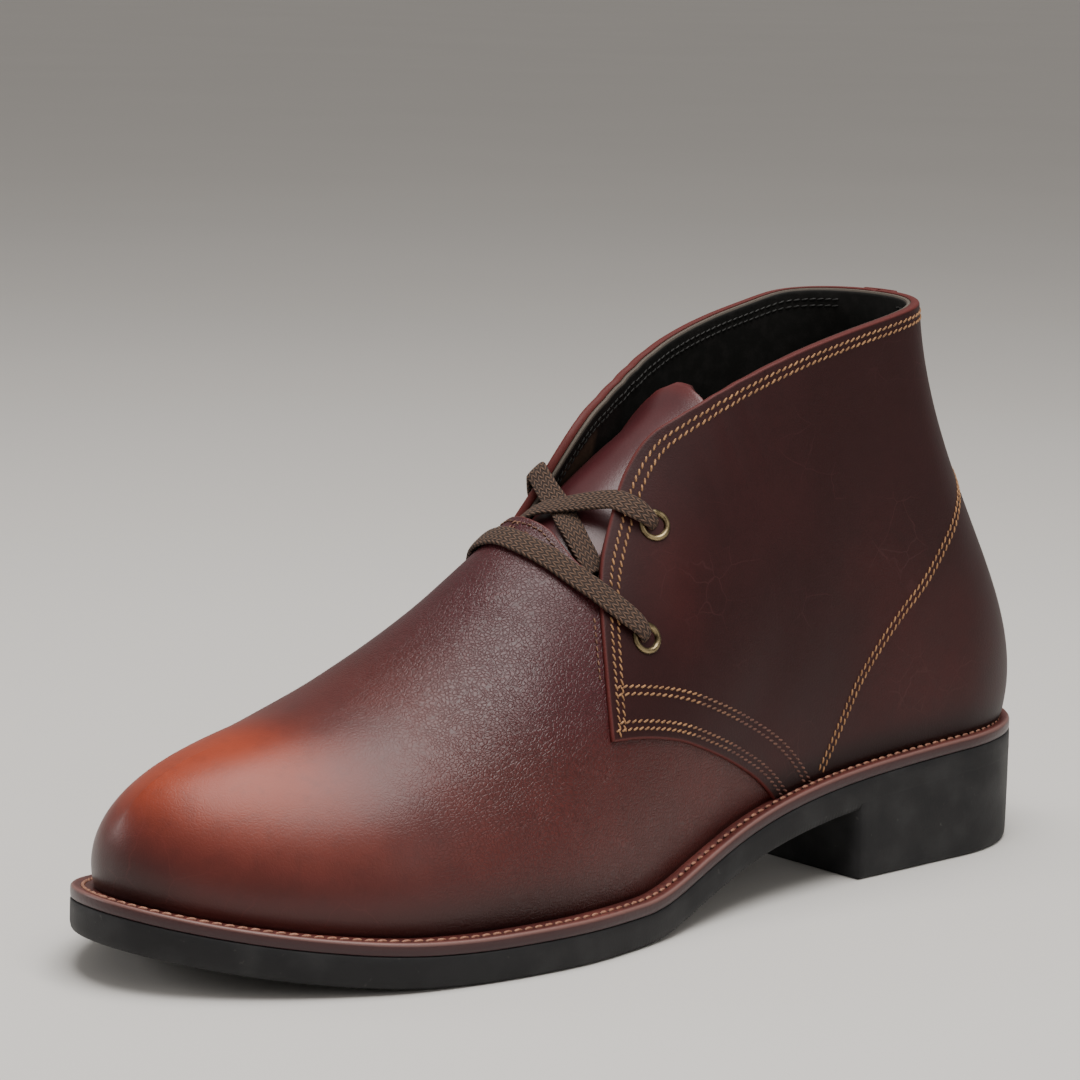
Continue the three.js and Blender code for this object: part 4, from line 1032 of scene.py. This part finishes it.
# inset, share of the height, inset of the breast
HEEL_RINGS = [(3.0, 0.0, 1.4), (1.4, 0.0, 0.8), (0.7, 0.012, 0.3), (0.35, 0.04, 0.1), (0.2, 0.1, 0), (0.08, 0.5, 0),
              (0.05, 0.9, 0), (0.06, 1.0, 0), (3, 1.0, 0)]
loops = [heel_ring(inset, lambda x, share=share: share * (sole_bottom(x) + 0.75 * OUTSOLE_THICKNESS), front)
         for inset, share, front in HEEL_RINGS]
count = len(loops[0])
points = np.concatenate(loops + [[loops[0].mean(0)], [loops[-1].mean(0)]])
block_faces = ring_walls(len(loops), count)
block_faces += [(i, (i + 1) % count, len(points) - 2) for i in range(count)]
last = (len(loops) - 1) * count
block_faces += [(last + (i + 1) % count, last + i, len(points) - 1) for i in range(count)]
mesh_piece("heel_block", points, block_faces, rubber, "outsole")

# %% [markdown]
# ## Eyelets
# An eyelet is a small brass tube with a rolled rim. Its profile is turned about its own axis,
# as on a lathe, and the ring is stood on the quarter along the leather's outward direction.

# %% Four eyelets
EYELETS = {"lower": (0.5285, 0.7265), "upper": (0.493, 0.985)}
EYELET_SIDES = 40
seat = OVERLAY + 0.12
# radius and height over the last, in mm
EYELET_PROFILE = [(2.35, -WALL), (2.35, seat - 0.9), (2.5, seat - 0.2), (2.75, seat + 0.3), (3.0, seat + 0.62),
                  (3.3, seat + 0.8), (3.6, seat + 0.82), (3.9, seat + 0.68), (4.15, seat + 0.42), (4.28, seat + 0.1),
                  (4.25, seat - 0.12), (3.9, seat - 0.15), (2.75, seat - 0.3), (2.75, -WALL)]
eyelet_axes = {}
turns = np.linspace(0, 2 * np.pi, EYELET_SIDES, endpoint=False)
for row, side, word in [(row, side, word) for row in EYELETS for side, word in ((-1, "lateral"), (1, "medial"))]:
    along, height = EYELETS[row]
    (centre,), (outward,) = on_skin(side, HEEL_X - along * SOLE_LENGTH, height * INSTEP_HEIGHT)
    eyelet_axes[word, row] = (centre, outward)
    aside = unit(np.cross([0.0, 0.0, 1.0], outward))
    above = np.cross(outward, aside)
    circle = np.cos(turns)[:, None] * aside + np.sin(turns)[:, None] * above
    rings = [centre + outward * h + circle * r for r, h in EYELET_PROFILE]
    faces = [quad[::-1] for quad in ring_walls(len(rings), EYELET_SIDES, closed=True)]
    mesh_piece(f"eyelet_{word}_{row}_rim", np.concatenate(rings), faces, brass,
               f"eyelet_{word}_{row}")

# %% [markdown]
# ## Stitches
# A row of stitches repeats one small bead of thread at a fixed pitch along a line that lies on
# the leather. That is work for Geometry Nodes: the tree resamples the line, stands a stitch
# on every point, turned to the line and to the leather under it, and makes them real.

# %% One stitch
BEAD_SIDES, BEAD_SHARES = 6, (0.0, 0.07, 0.25, 0.5, 0.75, 0.93, 1.0)


def stitch_bead(name, length, width, height):
    """A capsule of thread whose ends dip into the leather, marked 1 at its ends."""
    points, ends = [], []
    for share in BEAD_SHARES:
        body = math.sqrt(max(1 - abs(2 * share - 1) ** 3.2, 0.02))
        end = abs(2 * share - 1) ** 2
        for turn in (2 * math.pi * k / BEAD_SIDES for k in range(BEAD_SIDES)):
            points.append(((share - 0.5) * length, math.cos(turn) * width / 2 * body,
                           math.sin(turn) * height / 2 * body - 0.3 * height * end))
            ends.append(end)
    faces = [quad[::-1] for quad in ring_walls(len(BEAD_SHARES), BEAD_SIDES)]
    faces += [tuple(range(BEAD_SIDES))[::-1], tuple(range(len(points) - BEAD_SIDES, len(points)))]
    return new_object(name, marked_mesh(name, points, faces, {"end": ends}))


# %% The stitching tree
def stitching_tree():
    tree = bpy.data.node_groups.new("stitching", "GeometryNodeTree")
    for name, kind in (("Line", "NodeSocketGeometry"), ("Pitch", "NodeSocketFloat"), ("Slant", "NodeSocketFloat"),
                       ("Stitch", "NodeSocketObject"), ("Thread", "NodeSocketMaterial")):
        tree.interface.new_socket(name, in_out="INPUT", socket_type=kind)
    tree.interface.new_socket("Stitches", in_out="OUTPUT", socket_type="NodeSocketGeometry")
    add = tree.nodes.new
    given, made = add("NodeGroupInput"), add("NodeGroupOutput")
    curve, spaced = add("GeometryNodeMeshToCurve"), add("GeometryNodeResampleCurve")
    spaced.mode = "LENGTH"
    stitch, stood = add("GeometryNodeObjectInfo"), add("GeometryNodeInstanceOnPoints")
    facing = add("GeometryNodeInputNamedAttribute")
    facing.data_type = "FLOAT_VECTOR"
    facing.inputs["Name"].default_value = "facing"
    upright, turned = add("FunctionNodeAlignRotationToVector"), add("FunctionNodeAlignRotationToVector")
    upright.axis, turned.axis, turned.pivot_axis = "Z", "X", "Z"
    tangent, slanted = add("GeometryNodeInputTangent"), add("FunctionNodeRotateRotation")
    slanted.rotation_space = "LOCAL"
    slant = add("ShaderNodeCombineXYZ")
    real, threaded = add("GeometryNodeRealizeInstances"), add("GeometryNodeSetMaterial")
    for source, output, target, entry in (
            (given, "Line", curve, "Mesh"), (curve, 0, spaced, "Curve"), (given, "Pitch", spaced, "Length"),
            (spaced, 0, stood, "Points"), (given, "Stitch", stitch, "Object"), (stitch, "Geometry", stood, "Instance"),
            (facing, "Attribute", upright, "Vector"), (upright, 0, turned, "Rotation"), (tangent, 0, turned, "Vector"),
            (given, "Slant", slant, "Z"), (turned, 0, slanted, "Rotation"), (slant, 0, slanted, "Rotate By"),
            (slanted, 0, stood, "Rotation"), (stood, 0, real, 0), (real, 0, threaded, "Geometry"),
            (given, "Thread", threaded, "Material"), (threaded, 0, made, 0)):
        tree.links.new(source.outputs[output], target.inputs[entry])
    return tree


stitching = stitching_tree()
print("stitching tree of", len(stitching.nodes), "nodes")

# %% Sew rows of stitches
def sew(name, rows, thread, bead, pitch, slant, node):
    """rows is a list of (points, facings) in mm, one for each row of stitches."""
    points = np.concatenate([row[0] for row in rows]) * MM
    facings = np.concatenate([row[1] for row in rows])
    edges, start = [], 0
    for row, _ in rows:
        edges += [(start + k, start + k + 1) for k in range(len(row) - 1)]
        start += len(row)
    mesh = bpy.data.meshes.new(name + "_lines")
    mesh.from_pydata(points.tolist(), edges, [])
    mesh.attributes.new("facing", "FLOAT_VECTOR", "POINT").data.foreach_set("vector", facings.ravel())
    line = new_object(name + "_lines", mesh)
    modifier = line.modifiers.new("stitching", "NODES")
    modifier.node_group = stitching
    given = {"Pitch": pitch * MM, "Slant": math.radians(slant), "Stitch": bead, "Thread": thread}
    for item in stitching.interface.items_tree:
        if item.in_out == "INPUT" and item.name in given:
            modifier[item.identifier] = given[item.name]
    bpy.context.view_layer.update()
    evaluated = line.evaluated_get(bpy.context.evaluated_depsgraph_get())
    made = bpy.data.meshes.new_from_object(evaluated)
    bpy.data.objects.remove(line)
    dress(name, made, node)


def drawn_in(line, amount, start=0.0, end=1.0, count=160):
    """A side view line moved to its left by an amount, walking along it."""
    path = line(np.linspace(start, end, count))
    run = np.gradient(path, axis=0)
    return path + unit(np.stack([-run[:, 1], run[:, 0]], -1)) * amount


def row_on(side, path, height):
    """A line on the leather over a side view path."""
    points, outward = on_skin(side, path[:, 0], path[:, 1])
    return points + outward * (height + crease_at(side, points))[:, None], outward


leather_bead = stitch_bead("leather_bead", 2.0, 0.6, 0.5)
gold_rows, brown_rows, dark_rows = [], [], []
seam_line = side_line([(0.093, 0.718), (0.112, 0.685), (0.137, 0.635), (0.162, 0.574), (0.1885, 0.513),
                       (0.218, 0.463), (0.244, 0.413), (0.269, 0.356), (0.287, 0.297), (0.315, 0.199)], COLLAR_HEIGHT)
for side in (-1, 1):
    for inset in (2.5, 4.3):
        gold_rows.append(row_on(side, drawn_in(TOP_LINE, inset, 0.13, 1 - inset / 262), OVERLAY + 0.1))
    for inset, first in ((2.5, 0.03), (4.3, 0.05), (10.9, 0.065), (12.7, 0.065)):
        for rows, start, end in ((gold_rows, first, 0.34), (brown_rows, 0.34, 0.52), (dark_rows, 0.52, 0.93)):
            rows.append(row_on(side, drawn_in(QUARTER_EDGE, inset, start, end), OVERLAY + 0.1))
    for inset in (-0.9, 0.9):
        gold_rows.append(row_on(side, drawn_in(seam_line, inset, 0.02, 0.98), OVERLAY + 0.1))
for name, rows, thread in (("gold_stitches", gold_rows, gold_thread), ("brown_stitches", brown_rows, brown_thread),
                           ("dark_stitches", dark_rows, dark_thread)):
    sew(name, rows, thread, leather_bead, 2.0, 24, "upper")

# %% Tab and welt stitches
tab_rows = [row_on(side, path, 0.2) for side in (-1, 1) for path in (
    drawn_in(TAB_EDGE, -2.0, 0.28, 0.95, 80), drawn_in(TAB_EDGE, -4.6, 0.45, 0.7, 40),
    drawn_in(TOP_LINE, -1.5, 0.868, 0.93, 40))]
sew("tab_stitches", tab_rows, brown_thread, stitch_bead("fine_bead", 1.5, 0.5, 0.45), 1.8, 10, "upper")
welt_rows = []
for side in (-1, 1):
    at = np.linspace(0.004, 0.996, 600)
    path = inset_edge(side, at, 3.25)
    path[:, 2] = welt_height(path[:, 0], 0.99)
    welt_rows.append((path, np.tile([0.0, 0.0, 1.0], (len(path), 1))))
welt_thread = thread_finish("welt_thread", (0.46, 0.22, 0.14), (0.26, 0.11, 0.07))
sew("welt_stitches", welt_rows, welt_thread, stitch_bead("welt_bead", 2.9, 0.9, 0.8), 3.1, 8, "welt")
lining_rows = [(points - outward * (WALL + 0.15), -outward) for side in (-1, 1) for inset in (3.2, 5.0)
               for points, outward in [on_skin(side, *drawn_in(TOP_LINE, inset, 0.16, 0.9).T)]]
sew("lining_stitches", lining_rows, black_thread, leather_bead, 2.2, 10, "upper")
for bead in [o for o in bpy.data.objects if o.name.endswith("_bead")]:
    bpy.data.objects.remove(bead)

# %% [markdown]
# ## The lace
# The lace is a flat braid about 6 mm wide. It bars the tab straight between the lower
# eyelets, comes up inside from each of them, crosses itself over the tongue, and goes down
# through the top eyelets from outside. Each length is a ribbon swept along listed places,
# with its own facing direction at each, so that it lies flat on what is under it.

# %% Sweep a ribbon
LACE_WIDTH, LACE_THICKNESS = 6.3, 1.5


def ribbon(name, rows, node, count=110):
    """rows: x, y, z, facing x, y, z, width share, thickness share."""
    rows = np.asarray(rows, float)
    listed = run_along(rows[:, :3])
    run = np.linspace(0, listed[-1], count)
    path = np.stack([smooth_table(listed, column)(run) for column in rows.T], 1)
    centre = path[:, :3]
    tangent = unit(np.gradient(centre, axis=0))
    facing = unit(path[:, 3:6] - tangent * (path[:, 3:6] * tangent).sum(1, keepdims=True))
    aside = np.cross(tangent, facing)
    turns = np.linspace(0, 2 * np.pi, 20, endpoint=False)
    c, s = np.cos(turns), np.sin(turns)
    flat = np.sign(c) * np.abs(c) ** 0.75, np.sign(s) * np.abs(s) ** 0.7
    half_width = LACE_WIDTH / 2 * path[:, 6]
    half_thick = LACE_THICKNESS / 2 * path[:, 7]
    points = (centre[:, None] + aside[:, None] * (half_width[:, None] * flat[0])[..., None]
              + facing[:, None] * (half_thick[:, None] * flat[1])[..., None])
    n = len(turns)
    faces = ring_walls(count, n) + [tuple(range(n)), tuple(range(count * n - 1, (count - 1) * n - 1, -1))]
    marks = {"along": np.repeat(run, n), "across": (half_width[:, None] * flat[0]).ravel()}
    mesh_piece(name, points.reshape(-1, 3), faces, braid, node, marks, face_outwards=True)


def row_at(centre, facing, wide=1.0, thick=1.0):
    return [*centre, *facing, wide, thick]


def into_eyelet(word, row, toward):
    """Places from inside the boot up through an eyelet and over its rim, towards a point."""
    centre, outward = eyelet_axes[word, row]
    lean = np.asarray(toward, float) - centre
    lean = unit(lean - outward * (lean @ outward))
    flat = unit(outward + 0.2 * lean)
    return [row_at(centre - outward * 4.5, -lean, 0.55, 1.5), row_at(centre - outward * 1.0, -lean, 0.55, 1.5),
            row_at(centre + outward * 1.9 + lean * 0.9, unit(outward - 0.7 * lean), 0.6, 1.4),
            row_at(centre + outward * 3.0 + lean * 3.4, flat, 0.78, 1.15),
            row_at(centre + outward * 2.6 + lean * 7.0, outward, 0.95, 1.0)]


# %% Bar and crossing
def rest_on(place, lift):
    """A place moved to a height over the leather nearest to it."""
    place = np.asarray(place, float)
    knot = skin[np.argmin(((skin[:, :3] - place) ** 2).sum(1))]
    return row_at(place + knot[3:6] * (lift - (place - knot[:3]) @ knot[3:6]), knot[3:6])


# places on the leather and height of the lace's middle over it, in mm
BAR_PLACES = [((-16.2, -27.1, 84.8), 2.3), ((-18.8, -24.2, 87.9), 1.9), ((-20.9, -21.7, 90.3), 1.4),
              ((-25.2, -14, 95.5), 1.2), ((-27.9, -6.7, 98.4), 1.15), ((-29.3, 0, 100), 1.15), ((-28.6, 6.7, 98), 1.15),
              ((-26.2, 13, 95), 1.2), ((-21.6, 21, 90), 1.4), ((-18.8, 24.2, 87.9), 1.9), ((-16.2, 27.1, 84.8), 2.3)]
bar_rows = (into_eyelet("lateral", "lower", BAR_PLACES[0][0]) + [rest_on(place, lift) for place, lift in BAR_PLACES]
            + into_eyelet("medial", "lower", BAR_PLACES[-1][0])[::-1])
ribbon("lace_bar_braid", bar_rows, "lace_bar", 170)

# the middle of each lace from its top eyelet down to where it slips under the other facing
OVER = [(-5.2, 17.8, 109.8), (-6.0, 13.6, 109.4), (-7.2, 8.7, 108.5), (-8.7, 3.7, 107.4), (-10.1, -0.8, 106.3),
        (-11.4, -5.2, 105.2), (-12.3, -9.8, 102.9), (-13.0, -13.5, 99.6), (-13.2, -16.7, 95.5), (-13.0, -19.2, 91.6)]
UNDER = [(-4.6, 15.5, 113.3), (-5.9, 11, 111), (-6.9, 7, 108.6), (-7.7, 3, 106.5), (-9.2, -0.6, 105.5),
         (-11.1, -4.9, 103.3), (-12.2, -8.8, 101), (-12.7, -11.2, 99), (-13.0, -14, 96.6), (-13.2, -16.7, 94.1),
         (-13.0, -19.2, 91.6)]
INSTEP_AXIS_POINT = np.array([-4.2, 0, 88.4])
INSTEP_AXIS = np.array([math.cos(math.radians(33)), 0, math.sin(math.radians(33))])


def off_the_instep(place):
    away = place - INSTEP_AXIS_POINT
    return row_at(place, unit(away - INSTEP_AXIS * (away @ INSTEP_AXIS)))


for name, word, side, places in (("lace_over_braid", "lateral", -1, OVER), ("lace_under_braid", "medial", 1, UNDER)):
    rows = [off_the_instep(np.array([x, side * y, z])) for x, y, z in places]
    ribbon(name, into_eyelet(word, "upper", rows[0][:3]) + rows, "lace_cross")

# %% [markdown]
# ## Stage and light
# A plain pale floor and soft studio lamps: a large one nearly overhead, as the broad sheen on
# the vamp and the tongue asks for, a low one behind the toe, and a weak fill from the front.

# %% Floor and lamps
floor_mesh = bpy.data.meshes.new("floor")
floor_mesh.from_pydata([(-60, -60, 0), (60, -60, 0), (60, 60, 0), (-60, 60, 0)], [], [(0, 1, 2, 3)])
floor = new_object("floor", floor_mesh)
paper = Finish("pale_paper")
floor_mesh.materials.append(paper.done(paper.blend(paper.noise(3, 2), (0.70, 0.68, 0.65), (0.74, 0.72, 0.69)), 0.85))


def lamp(name, place, aim, size, power, color):
    light = bpy.data.lights.new(name, "AREA")
    light.shape, light.size, light.size_y = "RECTANGLE", *size
    light.energy, light.color = power, color
    away = unit(np.array(place) - np.array(aim))
    right = unit(np.cross([0, 0, 1], away))
    stand(new_object(name, light), right, np.cross(away, right), away, np.array(place))


lamp("overhead_softbox", (-0.05, -0.2, 1.25), (0, 0, 0.06), (0.9, 1.0), 21, (1.0, 0.98, 0.96))
lamp("front_fill", (0.1, -1.8, 0.9), (0, 0, 0.06), (1.1, 0.9), 4, (1.0, 0.97, 0.94))
lamp("low_behind_toe", (-1.0, 1.1, 0.5), (-0.12, 0, 0.04), (0.6, 0.4), 4, (1.0, 0.98, 0.97))
world = bpy.data.worlds.new("studio")
bpy.context.scene.world = world
world.use_nodes = True
backdrop = world.node_tree.nodes["Background"].inputs
backdrop["Color"].default_value, backdrop["Strength"].default_value = (0.86, 0.82, 0.78, 1), 0.4
print("lamps lit")
